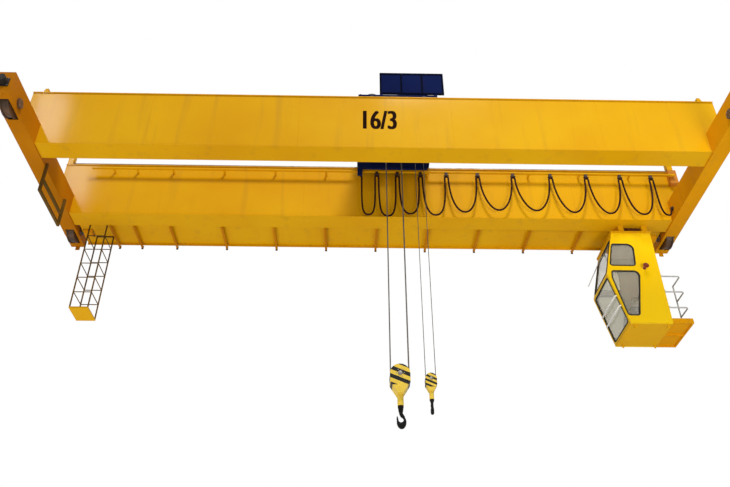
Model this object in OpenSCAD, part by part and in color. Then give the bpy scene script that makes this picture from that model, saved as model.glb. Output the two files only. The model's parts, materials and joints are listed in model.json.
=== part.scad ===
/* [Bridge] */
// Distance between the centres of the two runway rails
span = 13200; // [12500:100:15500]
// Height of a main girder over its flanges
girder_h = 1360; // [1200:10:1600]
// Width of the girder flanges
girder_w = 430; // [380:10:520]
// Distance between the centre lines of the two girders
girder_gauge = 2190; // [2100:10:2500]
// Height of the girder underside over the rail head
girder_lift = 130; // [90:5:200]
// Length of girder past the centre of the runway rail
girder_overrun = 200; // [160:10:300]
// Thickness of the girder webs
web_t = 12; // [8:1:20]
// Thickness of the girder flanges
flange_t = 16; // [10:1:30]
// Flange overhang past the web
flange_lip = 20; // [12:1:40]
// Height of a trolley rail
rail_h = 80; // [70:5:140]
// Distance from the inner flange edge to the trolley rail centre
rail_inset = 85; // [50:5:100]

/* [End carriages] */
// Length of an end carriage past the walkway edge
carriage_past = 20; // [10:5:100]
// Length of an end carriage from the middle of the crane to its near end
carriage_near = 2620; // [2500:10:3000]
// Width of an end carriage
carriage_w = 300; // [260:10:380]
// Height of an end carriage box
carriage_h = 520; // [460:10:600]
// Height of the end carriage underside over the rail head
carriage_lift = 100; // [60:5:140]
// Plate thickness of the end carriages
carriage_t = 12; // [8:1:20]
// Tread diameter of a crane wheel
wheel_d = 500; // [400:10:520]
// Diameter of a crane wheel axle
axle_d = 90; // [70:5:120]

/* [Walkway] */
// Width of the walkway beside the far girder
walkway_w = 780; // [740:10:900]
// Height of the walkway deck over the girder underside
walkway_lift = 90; // [60:5:160]
// Height of the walkway hand rail
rail_post_h = 1050; // [900:10:1200]
// Distance between walkway brackets
bracket_pitch = 1122; // [900:2:1400]

/* [Cab] */
// Height of the cab
cab_h = 2200; // [2000:10:2400]
// Width of the cab across the crane
cab_w = 1050; // [950:10:1200]
// Length of the cab roof
cab_roof_l = 840; // [780:10:1000]
// Length of the cab at its nose
cab_nose_l = 1120; // [1050:10:1300]
// Length of the cab floor
cab_floor_l = 850; // [780:10:1000]
// Depth of the nose below the cab roof
cab_nose_drop = 1060; // [900:10:1200]
// Gap between the girder underside and the cab roof
cab_drop = 200; // [150:10:300]
// Distance from the cab rear wall to the end carriage
cab_gap = 470; // [430:10:700]
// Wall thickness of the cab
cab_t = 40; // [30:1:60]

/* [Trolley] */
// Place of the trolley centre along the span at rest
trolley_x = 470; // [400:10:600]
// Length of the trolley frame
trolley_l = 1620; // [1600:10:2000]
// Distance from an end of the trolley frame to the axle beside it
trolley_axle_inset = 280; // [260:10:300]
// Tread diameter of a trolley wheel
trolley_wheel_d = 280; // [250:10:300]
// Diameter of the main drum at the rope centre
main_drum_d = 400; // [360:10:440]
// Diameter of the auxiliary drum at the rope centre
aux_drum_d = 300; // [260:10:320]

/* [Hooks] */
// Place of the main hook along the span
main_x = 420; // [400:5:440]
// Place of the auxiliary hook along the span
aux_x = 955; // [940:5:970]
// Depth of the top of the main block below the rail head
main_drop = 3800; // [3600:50:4200]
// Depth of the top of the auxiliary block below the rail head
aux_drop = 3940; // [3600:50:4200]
// Pitch radius of the main block sheaves
main_pitch_r = 160; // [150:2:170]
// Pitch radius of the auxiliary block sheave
aux_pitch_r = 88; // [84:2:96]
// Diameter of the main rope
main_rope_d = 18; // [14:1:22]
// Diameter of the auxiliary rope
aux_rope_d = 14; // [10:1:16]

/* [Hidden] */
$fn = 48;
// Radial play of a shaft in its bore
fit = 0.05;
// Gap left between pieces that only rest near each other
seat = 0.3;

half_span = span / 2;
carriage_in = half_span - carriage_w / 2;
girder_end = half_span + girder_overrun;
girder_bot = girder_lift;
girder_top = girder_bot + girder_h;
rail_top = girder_top + rail_h;
girder_y = girder_gauge / 2;
girder_inner = girder_y - girder_w / 2;
girder_outer = girder_y + girder_w / 2;
rail_y = girder_inner + rail_inset;
carriage_bot = carriage_lift;
carriage_top = carriage_bot + carriage_h;
walkway_edge = girder_outer + walkway_w;
carriage_end = walkway_edge + carriage_past;
wheel_y = (girder_outer + walkway_edge) / 2;
wheel_ys = [carriage_end - wheel_y - carriage_near, wheel_y];
wheel_r = wheel_d / 2;
axle_r = axle_d / 2;

// Trolley rail section: foot, web and head
rail_foot_w = 90;
rail_foot_t = 14;
rail_web_w = 20;
rail_head_w = 46;
rail_head_t = 32;
rail_end_gap = 140;
rail_end = girder_end - rail_end_gap;

// Crane wheel
tread_w = 110;
wheel_flange_h = 22;
wheel_flange_r = wheel_r + wheel_flange_h;
wheel_flange_w = 24;
cap_r = 95;
cap_w = 40;
wheel_room = 25;
wheel_side_room = 14;
slot_w = tread_w / 2 + wheel_flange_w + wheel_side_room;
slot_l = sqrt(pow(wheel_flange_r, 2) - pow(wheel_r - carriage_lift - carriage_t, 2)) + wheel_room;

// Trolley end stops
stop_gap_end = 130;
stop_x = girder_end - stop_gap_end;
stop_l = 120;
stop_h = 380;

// Buffers on the ends of the carriages
buffer_d = 150;
buffer_l = 120;
buffer_plate = 190;
buffer_plate_t = 16;
buffer_z = carriage_bot + carriage_h / 2;

// Inspection cage hung under the left end of the walkway
cage_gap = 320;
cage_l = 390;
cage_narrower = 240;
cage_w = walkway_w - cage_narrower;
cage_xs = [cage_gap - carriage_in, cage_gap + cage_l - carriage_in];
cage_ys = [girder_outer + seat, girder_outer + seat + cage_w];

// Walkway beside the far girder
deck_t = 10;
deck_z = girder_bot + walkway_lift;
deck_gap = 60;
deck_end = carriage_in - deck_gap;
bracket_t = 12;
bracket_h = 100;
bracket_tip = 60;
edge_t = 10;
rail_bar = 36;
toe_h = 40;

// Brackets stand at an even pitch, with two closer ones beside the cage
cage_bracket_gaps = [60, 565];
bracket_start = 2000;
bracket_finish = 600;
bracket_x = concat([for (gap = cage_bracket_gaps) cage_xs[1] + gap],
                   [for (x = [bracket_start - deck_end:bracket_pitch:deck_end - bracket_finish]) x]);

// A box between two corners, given as ranges along the three axes
module slab(xs, ys, zs) {
    translate([xs[0], ys[0], zs[0]])
        cube([xs[1] - xs[0], ys[1] - ys[0], zs[1] - zs[0]]);
}

// An outline in the X-Z plane, given thickness along Y
module along_y(ys) {
    translate([0, ys[1], 0])
        rotate([90, 0, 0])
            linear_extrude(ys[1] - ys[0])
                children();
}

// A round bar along Y
module bar_y(ys, r) {
    translate([0, ys[1], 0])
        rotate([90, 0, 0])
            cylinder(r = r, h = ys[1] - ys[0]);
}

// A round bar along X
module bar_x(xs, r) {
    translate([xs[0], 0, 0])
        rotate([0, 90, 0])
            cylinder(r = r, h = xs[1] - xs[0]);
}

// Girder web with its ends notched to sit on the end carriages
module web_outline() {
    polygon([[-carriage_in, girder_bot + flange_t], [carriage_in, girder_bot + flange_t],
             [carriage_in, carriage_top + flange_t], [girder_end, carriage_top + flange_t],
             [girder_end, girder_top - flange_t], [-girder_end, girder_top - flange_t],
             [-girder_end, carriage_top + flange_t], [-carriage_in, carriage_top + flange_t]]);
}

// Oval access hole in the end plates of a girder
manhole_w = 220;
manhole_h = 420;

module manhole_outline() {
    for (s = [-1, 1])
        translate([0, s * (manhole_h - manhole_w) / 2]) circle(d = manhole_w);
    square([manhole_w, manhole_h - manhole_w], center = true);
}

module girder_end_plate(s, inside) {
    low = carriage_top + flange_t;
    high = girder_top - flange_t;
    translate([s * (girder_end - web_t / 2), 0, (low + high) / 2])
        rotate([90, 0, 90])
            linear_extrude(web_t, center = true)
                difference() {
                    square([2 * inside, high - low], center = true);
                    manhole_outline();
                }
}

module girder(y_mid) {
    inside = girder_w / 2 - flange_lip - web_t;
    translate([0, y_mid, 0]) {
        slab([-girder_end, girder_end], [-girder_w / 2, girder_w / 2], [girder_top - flange_t, girder_top]);
        slab([-carriage_in, carriage_in], [-girder_w / 2, girder_w / 2], [girder_bot, girder_bot + flange_t]);
        along_y([inside, inside + web_t]) web_outline();
        along_y([-inside - web_t, -inside]) web_outline();
        for (s = [-1, 1]) {
            seat_xs = s > 0 ? [carriage_in, girder_end] : [-girder_end, -carriage_in];
            step_xs = s > 0 ? [carriage_in - web_t, carriage_in] : [-carriage_in, web_t - carriage_in];
            slab(seat_xs, [-girder_w / 2, girder_w / 2], [carriage_top, carriage_top + flange_t]);
            slab(step_xs, [-inside, inside], [girder_bot + flange_t, carriage_top + flange_t]);
            girder_end_plate(s, inside);
        }
    }
}

module girder_near() {
    color("gold") girder(-girder_y);
}

module girder_far() {
    color("gold") girder(girder_y);
}

module rail_outline() {
    foot = rail_foot_w / 2;
    web = rail_web_w / 2;
    head = rail_head_w / 2;
    polygon([[-foot, 0], [foot, 0], [foot, rail_foot_t * 0.6], [web, rail_foot_t * 1.6],
             [web, rail_h - rail_head_t], [head, rail_h - rail_head_t * 0.75], [head, rail_h],
             [-head, rail_h], [-head, rail_h - rail_head_t * 0.75], [-web, rail_h - rail_head_t],
             [-web, rail_foot_t * 1.6], [-foot, rail_foot_t * 0.6]]);
}

module trolley_rail(y) {
    color("dimgray")
        translate([-rail_end, y, girder_top])
            rotate([90, 0, 90])
                linear_extrude(2 * rail_end)
                    rail_outline();
}

module trolley_rail_near() {
    trolley_rail(-rail_y);
}

module trolley_rail_far() {
    trolley_rail(rail_y);
}

stop_cheek_t = 16;
stop_gap = 2;
stop_over = 40;

// Trolley end stops straddle the rail: two gusseted cheeks and a striking plate
module end_stop(s, y) {
    gap = rail_foot_w / 2 + stop_gap;
    front = s * stop_x;
    back = s * (stop_x + stop_l);
    for (side = [-1, 1]) {
        ys = side > 0 ? [y + gap, y + gap + stop_cheek_t] : [y - gap - stop_cheek_t, y - gap];
        along_y(ys)
            polygon([[front, girder_top], [back, girder_top], [back, girder_top + stop_h * 0.6],
                     [(front + back) / 2, girder_top + stop_h], [front, girder_top + stop_h]]);
    }
    slab([min(front, (front + back) / 2), max(front, (front + back) / 2)], [y - gap, y + gap],
         [rail_top + stop_over, girder_top + stop_h]);
}

module end_stops_left() {
    color("goldenrod") for (s = [-1, 1]) end_stop(-1, s * rail_y);
}

module end_stops_right() {
    color("goldenrod") for (s = [-1, 1]) end_stop(1, s * rail_y);
}

module carriage(s) {
    half_w = carriage_w / 2;
    inner = half_w - carriage_t;
    translate([s * half_span, 0, 0])
        difference() {
            slab([-half_w, half_w], [-carriage_near, carriage_end], [carriage_bot, carriage_top]);
            slab([-inner, inner], [carriage_t - carriage_near, carriage_end - carriage_t],
                 [carriage_bot + carriage_t, carriage_top - carriage_t]);
            for (y = wheel_ys)
                translate([0, y, 0]) {
                    slab([-slot_w, slot_w], [-slot_l, slot_l], [carriage_bot - 1, carriage_bot + carriage_t + 1]);
                    translate([0, 0, wheel_r]) bar_x([-half_w - 1, half_w + 1], axle_r + fit);
                }
        }
}

// Rail sweeps hang at both ends of a carriage, just over the rail head
sweep_w = 90;
sweep_t = 16;
sweep_over = 15;

module rail_sweeps(s) {
    for (side = [-1, 1]) {
        ys = side > 0 ? [carriage_end - sweep_t, carriage_end] : [-carriage_near, sweep_t - carriage_near];
        slab([s * half_span - sweep_w / 2, s * half_span + sweep_w / 2], ys, [sweep_over, carriage_bot]);
    }
}

module carriage_left() {
    color("gold") {
        carriage(-1);
        rail_sweeps(-1);
    }
}

module carriage_right() {
    color("gold") {
        carriage(1);
        rail_sweeps(1);
    }
}

module crane_wheel() {
    half_w = carriage_w / 2;
    bar_x([-tread_w / 2, tread_w / 2], wheel_r);
    for (s = [-1, 1]) {
        flange_xs = s > 0 ? [tread_w / 2, tread_w / 2 + wheel_flange_w]
                          : [-tread_w / 2 - wheel_flange_w, -tread_w / 2];
        cap_xs = s > 0 ? [half_w, half_w + cap_w] : [-half_w - cap_w, -half_w];
        bar_x(flange_xs, wheel_flange_r);
        bar_x(cap_xs, cap_r);
    }
    bar_x([-half_w - cap_w, half_w + cap_w], axle_r);
}

module wheels(s) {
    for (y = wheel_ys)
        translate([s * half_span, y, wheel_r])
            crane_wheel();
}

module wheels_left() {
    color("dimgray") wheels(-1);
}

module wheels_right() {
    color("dimgray") wheels(1);
}

module buffers() {
    color("dimgray")
        for (sx = [-1, 1], sy = [-1, 1]) {
            start = sy > 0 ? carriage_end : carriage_near;
            plate_ys = sy > 0 ? [start, start + buffer_plate_t] : [-start - buffer_plate_t, -start];
            pad_ys = sy > 0 ? [start + buffer_plate_t, start + buffer_plate_t + buffer_l]
                            : [-start - buffer_plate_t - buffer_l, -start - buffer_plate_t];
            translate([sx * half_span, 0, buffer_z]) {
                slab([-buffer_plate / 2, buffer_plate / 2], plate_ys, [-buffer_plate / 2, buffer_plate / 2]);
                bar_y(pad_ys, buffer_d / 2);
            }
        }
}

module bracket_outline() {
    polygon([[girder_outer, deck_z - deck_t - bracket_h], [girder_outer + bracket_tip, deck_z - deck_t - bracket_h],
             [walkway_edge - edge_t, deck_z - deck_t - bracket_tip], [walkway_edge - edge_t, deck_z - deck_t],
             [girder_outer, deck_z - deck_t]]);
}

// Travel drive sizes: an upright gear case on the wheel axle, its motor over the deck
gear_gap = 110;
gear_l = 180;
gear_r = 130;
gear_top_r = 105;
gear_rise = 350;
gear_room = 15;
motor_d = 220;
motor_l = 380;
brake_d = 180;
brake_l = 90;
foot_w = 200;
foot_t = 40;
drive_shaft_d = 56;
torque_h = 100;
torque_w = 160;
gear_xs = [carriage_in - gear_gap - gear_l, carriage_in - gear_gap];

// Deck plate, open round the gear case at each end
module walkway_deck() {
    difference() {
        slab([-deck_end, deck_end], [girder_outer, walkway_edge], [deck_z - deck_t, deck_z]);
        for (s = [-1, 1]) {
            notch = [gear_xs[0] - gear_room, gear_xs[1] + gear_room];
            slab(s > 0 ? notch : [-notch[1], -notch[0]], [wheel_y - gear_r - gear_room, wheel_y + gear_r + gear_room],
                 [deck_z - 2 * deck_t, deck_z + deck_t]);
        }
    }
}

module walkway() {
    color("gold") {
        walkway_deck();
        slab([-deck_end, deck_end], [walkway_edge - edge_t, walkway_edge],
             [deck_z - deck_t - bracket_tip, deck_z + toe_h]);
        for (x = bracket_x)
            translate([x - bracket_t / 2, 0, 0])
                rotate([90, 0, 90])
                    linear_extrude(bracket_t)
                        bracket_outline();
    }
}

module walkway_railing() {
    y = [walkway_edge - edge_t - rail_bar, walkway_edge - edge_t];
    color("gold") {
        for (x = bracket_x)
            slab([x - rail_bar / 2, x + rail_bar / 2], y, [deck_z, deck_z + rail_post_h]);
        for (share = [0.5, 1])
            slab([bracket_x[0] - rail_bar / 2, bracket_x[len(bracket_x) - 1] + rail_bar / 2], y,
                 [deck_z + share * rail_post_h - rail_bar, deck_z + share * rail_post_h]);
    }
}

// Gear case outline across the crane: a large low wheel and a smaller one above it
module gear_outline() {
    hull() {
        circle(r = gear_r);
        translate([0, gear_rise]) circle(r = gear_top_r);
    }
}

module drive_unit() {
    input_z = wheel_r + gear_rise;
    foot_x = gear_xs[0] - motor_l * 0.5;
    translate([gear_xs[0], wheel_y, wheel_r])
        rotate([90, 0, 90])
            linear_extrude(gear_l)
                gear_outline();
    translate([0, wheel_y, wheel_r]) bar_x([gear_xs[1], carriage_in - cap_w - seat], drive_shaft_d / 2);
    translate([0, wheel_y, input_z]) {
        bar_x([gear_xs[0] - motor_l, gear_xs[0]], motor_d / 2);
        bar_x([gear_xs[0] - motor_l - brake_l, gear_xs[0] - motor_l], brake_d / 2);
    }
    slab([foot_x - foot_t, foot_x + foot_t], [wheel_y - foot_w / 2, wheel_y + foot_w / 2], [deck_z, input_z]);
    slab([gear_xs[1], carriage_in], [wheel_y - torque_w / 2, wheel_y + torque_w / 2],
         [carriage_top - torque_h, carriage_top]);
}

module drive_left() {
    color("goldenrod") mirror([1, 0, 0]) drive_unit();
}

module drive_right() {
    color("goldenrod") drive_unit();
}

// Hanging frame for the current collectors on the inner face of the left carriage
collector_bar = 50;
collector_ys = [-640, 490];
collector_drop = 590;
collector_lap = 80;
collector_mid = 0.44;

module collector_frame() {
    x = [-carriage_in, collector_bar - carriage_in];
    low = carriage_bot - collector_drop;
    span_ys = [collector_ys[0] - collector_bar / 2, collector_ys[1] + collector_bar / 2];
    color("gold") {
        for (y = collector_ys)
            slab(x, [y - collector_bar / 2, y + collector_bar / 2], [low, carriage_bot + collector_lap]);
        for (share = [0, collector_mid])
            slab(x, span_ys, [low + share * collector_drop, low + share * collector_drop + collector_bar]);
    }
}

// Cage: angle posts at the corners, ladder sides left and right, open towards the girder and the outside
cage_floor_z = -1930;
cage_bar = 24;
cage_floor_t = 30;
cage_low = cage_floor_z + cage_floor_t;
cage_top = deck_z - deck_t;
cage_bays = 6;
cage_bay_h = (cage_top - cage_low) / cage_bays;
brace_t = 16;

module bar_between(a, b, t) {
    d = b - a;
    translate([a[0], a[1]])
        rotate(atan2(d[1], d[0]))
            translate([0, -t / 2])
                square([norm(d), t]);
}

// Posts and top bar of an open side of the cage
module cage_gate_outline(a, b) {
    for (x = [a, b - cage_bar])
        translate([x, cage_low]) square([cage_bar, cage_top - cage_low]);
    translate([a, cage_top - cage_bar]) square([b - a, cage_bar]);
}

// Rungs of a ladder side, with diagonals in its lowest bays
module cage_ladder_outline(a, b, braced) {
    for (i = [0:cage_bays - 1])
        translate([a, cage_low + i * cage_bay_h]) square([b - a, cage_bar]);
    for (i = [0:braced - 1])
        bar_between([b, cage_low + cage_bar / 2 + i * cage_bay_h],
                    [a, cage_low + cage_bar / 2 + (i + 1) * cage_bay_h], brace_t);
}

module cage_ladder(x, braced) {
    inner = [cage_ys[0] + cage_bar, cage_ys[1] - cage_bar];
    translate([x, 0, 0])
        rotate([90, 0, 90])
            linear_extrude(cage_bar)
                intersection() {
                    cage_ladder_outline(inner[0], inner[1], braced);
                    translate([inner[0], cage_low]) square([inner[1] - inner[0], cage_top - cage_low]);
                }
}

module cage_near_side() {
    color("gold") along_y([cage_ys[0], cage_ys[0] + cage_bar]) cage_gate_outline(cage_xs[0], cage_xs[1]);
}

module cage_far_side() {
    color("gold") along_y([cage_ys[1] - cage_bar, cage_ys[1]]) cage_gate_outline(cage_xs[0], cage_xs[1]);
}

module cage_left_side() {
    color("gold") cage_ladder(cage_xs[0], 3);
}

module cage_right_side() {
    color("gold") cage_ladder(cage_xs[1] - cage_bar, 2);
}

module cage_floor() {
    color("gold") slab(cage_xs, cage_ys, [cage_floor_z, cage_low]);
}

// Cab outline corners in the X-Z plane
cab_top = girder_bot - cab_drop;
cab_bot = cab_top - cab_h;
cab_rear = carriage_in - cab_gap;
cab_overhang = 50;
cab_ys = [walkway_edge + cab_overhang - cab_w, walkway_edge + cab_overhang];
cab_a = [cab_rear - cab_roof_l, cab_top];
cab_b = [cab_rear - cab_nose_l, cab_top - cab_nose_drop];
cab_c = [cab_rear - cab_floor_l, cab_bot];
pane_t = 8;

function lerp(a, b, t) = a + (b - a) * t;

// Place of the sloped front at a height
function front_x(z) = z > cab_b[1] ? lerp(cab_a[0], cab_b[0], (cab_a[1] - z) / (cab_a[1] - cab_b[1]))
                                   : lerp(cab_b[0], cab_c[0], (cab_b[1] - z) / (cab_b[1] - cab_c[1]));

// Points of a polygon with each corner turned into an arc of its own radius
corner_steps = 6;
function rounded(points, radii) = [for (i = [0:len(points) - 1])
    let (n = len(points), p = points[i], u = unit(points[(i + n - 1) % n] - p), v = unit(points[(i + 1) % n] - p),
         half = acos(u * v) / 2, middle = p + unit(u + v) * radii[i] / sin(half),
         start = p + u * radii[i] / tan(half) - middle, finish = p + v * radii[i] / tan(half) - middle,
         from = atan2(start[1], start[0]), sweep = (atan2(finish[1], finish[0]) - from + 540) % 360 - 180)
    for (k = [0:corner_steps])
        middle + radii[i] * [cos(from + sweep * k / corner_steps), sin(from + sweep * k / corner_steps)]];
function unit(v) = v / norm(v);

module cab_side_outline() {
    polygon([cab_a, cab_b, cab_c, [cab_rear, cab_bot], [cab_rear, cab_top]]);
}

// Side windows: heights as shares of the two front slopes, widths from the front and the rear wall
upper_shares = [0.28, 0.79];
upper_front = [30, 45];
upper_rear = [430, 480];
lower_shares = [-0.075, 0.073, 0.846];
lower_front = [90, 74, 30];
lower_rear = [424, 633];
upper_radii = [50, 50, 60, 130];
lower_radii = [50, 120, 70, 50, 110];

module upper_window() {
    z = [for (s = upper_shares) lerp(cab_a[1], cab_b[1], s)];
    polygon(rounded([[front_x(z[0]) + upper_front[0], z[0]], [front_x(z[1]) + upper_front[1], z[1]],
                     [cab_rear - upper_rear[1], z[1]], [cab_rear - upper_rear[0], z[0]]], upper_radii));
}

module lower_window() {
    z = [for (s = lower_shares) lerp(cab_b[1], cab_c[1], s)];
    polygon(rounded([[front_x(z[0]) + lower_front[0], z[0]], [front_x(z[1]) + lower_front[1], z[1]],
                     [front_x(z[2]) + lower_front[2], z[2]], [cab_rear - lower_rear[1], z[2]],
                     [cab_rear - lower_rear[0], z[0]]], lower_radii));
}

module cab_side(ys) {
    along_y(ys)
        difference() {
            cab_side_outline();
            upper_window();
            lower_window();
        }
}

module cab_near_wall() {
    color("gold") cab_side([cab_ys[0], cab_ys[0] + cab_t]);
}

module cab_far_wall() {
    color("gold") cab_side([cab_ys[1] - cab_t, cab_ys[1]]);
}

module cab_side_glass(ys) {
    color("lightgray")
        along_y(ys)
            offset(delta = -seat) {
                upper_window();
                lower_window();
            }
}

module cab_glass_near() {
    cab_side_glass([cab_ys[0] + cab_t / 2, cab_ys[0] + cab_t / 2 + pane_t]);
}

module cab_glass_far() {
    cab_side_glass([cab_ys[1] - cab_t / 2 - pane_t, cab_ys[1] - cab_t / 2]);
}

door_w = 620;
door_h = 1820;
door_sill = 60;

module cab_back_wall() {
    mid = (cab_ys[0] + cab_ys[1]) / 2;
    color("gold")
        difference() {
            slab([cab_rear - cab_t, cab_rear], [cab_ys[0] + cab_t, cab_ys[1] - cab_t], [cab_bot + cab_t, cab_top]);
            slab([cab_rear - cab_t - 1, cab_rear + 1], [mid - door_w / 2, mid + door_w / 2],
                 [cab_bot + cab_t + door_sill, cab_bot + cab_t + door_sill + door_h]);
        }
}

// Stands a drawing on the sloped front: its X runs down the slope, its Y across the cab
module on_front(a, b) {
    translate([a[0], 0, a[1]])
        rotate([0, -atan2(b[1] - a[1], b[0] - a[0]), 0])
            children();
}

// Window in the front panel between two points, as shares of the slope
front_upper_window = [0.14, 0.93];
front_lower_window = [0.04, 0.94];
pane_margin = 28;
pane_r = 45;
pane_ys = [cab_ys[0] + cab_t + pane_margin, cab_ys[1] - cab_t - pane_margin];

module pane_outline(a, b, part) {
    long = norm(b - a);
    polygon(rounded([[part[0] * long, pane_ys[0]], [part[1] * long, pane_ys[0]], [part[1] * long, pane_ys[1]],
                     [part[0] * long, pane_ys[1]]], [pane_r, pane_r, pane_r, pane_r]));
}

// The two front panels are cut along the line that halves the nose angle
module front_panel(points, a, b, part) {
    difference() {
        along_y([cab_ys[0] + cab_t, cab_ys[1] - cab_t]) polygon(points);
        on_front(a, b)
            translate([0, 0, -cab_t])
                linear_extrude(3 * cab_t)
                    pane_outline(a, b, part);
    }
}

function slope_w(a, b) = cab_t * norm(b - a) / abs(b[1] - a[1]);
nose_in = cab_b + [(slope_w(cab_a, cab_b) + slope_w(cab_b, cab_c)) / 2, 0];
top_in = cab_a + [slope_w(cab_a, cab_b), 0];
foot_out = [front_x(cab_bot + cab_t), cab_bot + cab_t];
foot_in = foot_out + [slope_w(cab_b, cab_c), 0];

module cab_front_upper() {
    color("gold") front_panel([cab_a, cab_b, nose_in, top_in], cab_a, cab_b, front_upper_window);
}

module cab_front_lower() {
    color("gold") front_panel([cab_b, foot_out, foot_in, nose_in], cab_b, cab_c, front_lower_window);
}

module front_glass(a, b, part) {
    color("lightgray")
        on_front(a, b)
            translate([0, 0, cab_t / 2 - pane_t])
                linear_extrude(pane_t)
                    offset(delta = -seat)
                        pane_outline(a, b, part);
}

module cab_glass_upper() {
    front_glass(cab_a, cab_b, front_upper_window);
}

module cab_glass_lower() {
    front_glass(cab_b, cab_c, front_lower_window);
}

// Floor plate with four locating pegs under its corners
peg_d = 36;
peg_h = 70;
peg_inset = 60;

module cab_floor() {
    ys = [cab_ys[0] + cab_t, cab_ys[1] - cab_t];
    color("gold") {
        along_y(ys) polygon([foot_out, cab_c, [cab_rear, cab_bot], [cab_rear, cab_bot + cab_t]]);
        for (x = [cab_c[0] + 2 * peg_inset, cab_rear - peg_inset], y = [ys[0] + peg_inset, ys[1] - peg_inset])
            translate([x, y, cab_bot - peg_h]) cylinder(d = peg_d, h = peg_h);
    }
}

roof_t = 40;
roof_lip = 20;

module cab_roof() {
    color("gold")
        slab([cab_a[0] - roof_lip, cab_rear + roof_lip], [cab_ys[0] - roof_lip, cab_ys[1] + roof_lip],
             [cab_top, cab_top + roof_t]);
}

hanger_w = 120;
hanger_insets = [180, 30];
strap_t = 16;

// Four hangers: two under the girder flange, two straps on the walkway edge
module cab_hangers() {
    color("gold")
        for (x = [cab_a[0] + hanger_insets[0], cab_rear - hanger_insets[1] - hanger_w]) {
            slab([x, x + hanger_w], [max(cab_ys[0], girder_inner) + flange_lip, girder_outer - flange_lip],
                 [cab_top + roof_t, girder_bot]);
            slab([x, x + hanger_w], [walkway_edge, walkway_edge + strap_t], [cab_top + roof_t, deck_z]);
        }
}

platform_l = 420;
platform_t = 12;
platform_h = 40;
platform_rib = 30;
toe_plate_h = 70;
toe_plate_t = 8;

// Entry platform: a plate on edge ribs and a middle rib, with toe plates on its three open sides
module cab_platform() {
    xs = [cab_rear, cab_rear + platform_l];
    top = cab_bot + platform_h;
    mid = (cab_ys[0] + cab_ys[1] - platform_rib) / 2;
    color("gold") {
        slab(xs, cab_ys, [top - platform_t, top]);
        for (y = [cab_ys[0], mid, cab_ys[1] - platform_rib])
            slab(xs, [y, y + platform_rib], [cab_bot, top]);
        for (x = [xs[0], xs[1] - platform_rib])
            slab([x, x + platform_rib], cab_ys, [cab_bot, top]);
        for (y = [cab_ys[0], cab_ys[1] - toe_plate_t])
            slab(xs, [y, y + toe_plate_t], [top, top + toe_plate_h]);
        slab([xs[1] - toe_plate_t, xs[1]], cab_ys, [top, top + toe_plate_h]);
    }
}

guard_d = 30;
guard_bend = 60;
guard_heights = [330, 700, 1075];
guard_reach = 400;

// One rail of the platform guard: from the cab wall along the near edge, round a bend, then across to the post
module guard_loop(z) {
    y0 = cab_ys[0] + toe_plate_t + guard_d / 2;
    x1 = cab_rear + platform_l - toe_plate_t - guard_d / 2;
    translate([0, y0, z]) bar_x([cab_rear, x1 - guard_bend], guard_d / 2);
    translate([x1 - guard_bend, y0 + guard_bend, z])
        rotate(-90)
            rotate_extrude(angle = 90)
                translate([guard_bend, 0]) circle(d = guard_d);
    translate([x1, 0, z]) bar_y([y0 + guard_bend, y0 + guard_reach], guard_d / 2);
}

module cab_guard_rail() {
    top = cab_bot + platform_h;
    x1 = cab_rear + platform_l - toe_plate_t - guard_d / 2;
    color("silver") {
        for (h = guard_heights)
            guard_loop(top + h);
        translate([x1, cab_ys[0] + toe_plate_t + guard_d / 2 + guard_reach, top])
            cylinder(d = guard_d, h = guard_heights[2] + guard_d / 2);
    }
}

horn_setback = 308;
horn_drop = 900;
horn_r = 62;
horn_l = 110;
horn_neck_r = 22;
horn_foot_r = 36;

// Signal horn: a stem on the near wall and a flared bell turned from one profile
module cab_horn() {
    color("firebrick")
        translate([cab_rear - horn_setback, cab_ys[0], cab_top - horn_drop])
            rotate([90, 0, 0])
                rotate_extrude()
                    polygon([[0, 0], [horn_foot_r, 0], [horn_foot_r, horn_l * 0.1], [horn_neck_r, horn_l * 0.14],
                             [horn_neck_r, horn_l * 0.4], [horn_r * 0.55, horn_l * 0.62],
                             [horn_r * 0.8, horn_l * 0.86], [horn_r, horn_l], [horn_r * 0.9, horn_l],
                             [horn_neck_r, horn_l * 0.6], [0, horn_l * 0.6]]);
}

seat_w = 460;
seat_l = 440;
seat_h = 500;
cushion_t = 90;
back_h = 560;
back_t = 80;
arm_w = 60;
arm_t = 40;
arm_h = 190;
seat_back = 230;
seat_column_d = 140;
cushion_radii = [30, 10, 10, 40];
back_radii = [10, 10, 35, 35];

// Operator seat: column, cushion, raked back and two arm rests, drawn from the side and given widths
module cab_seat() {
    x1 = cab_rear - seat_back;
    x0 = x1 - seat_l;
    base = cab_bot + cab_t;
    top = base + seat_h;
    mid = (cab_ys[0] + cab_ys[1]) / 2;
    color("dimgray") {
        translate([(x0 + x1) / 2, mid, base]) cylinder(d = seat_column_d, h = seat_h - cushion_t);
        along_y([mid - seat_w / 2, mid + seat_w / 2]) {
            polygon(rounded([[x0, top - cushion_t], [x1, top - cushion_t], [x1, top], [x0, top]], cushion_radii));
            polygon(rounded([[x1 - back_t, top - cushion_t / 2], [x1, top - cushion_t / 2],
                             [x1 + back_t * 0.8, top + back_h], [x1 - back_t * 0.2, top + back_h]],
                            back_radii));
        }
        for (y = [mid - seat_w / 2 - arm_w, mid + seat_w / 2])
            along_y([y, y + arm_w])
                polygon([[x0 + arm_w, top + arm_h - arm_t], [x1 - 2 * arm_t, top + arm_h - arm_t],
                         [x1 - 2 * arm_t, top - cushion_t], [x1 - arm_t, top - cushion_t], [x1 - arm_t, top + arm_h],
                         [x0 + arm_w, top + arm_h]]);
    }
}

// Festoon track on the inner web of the far girder
track_w = 50;
track_clear = 115;
track_y = girder_inner - track_clear - track_w / 2;
track_h = 40;
track_drop = 240;
track_z = girder_top - track_drop;
track_gaps = [300, -250];
track_ends = [track_gaps[0] - carriage_in, carriage_in - track_gaps[1]];
track_bracket_w = 40;
track_slot = 10;

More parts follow.
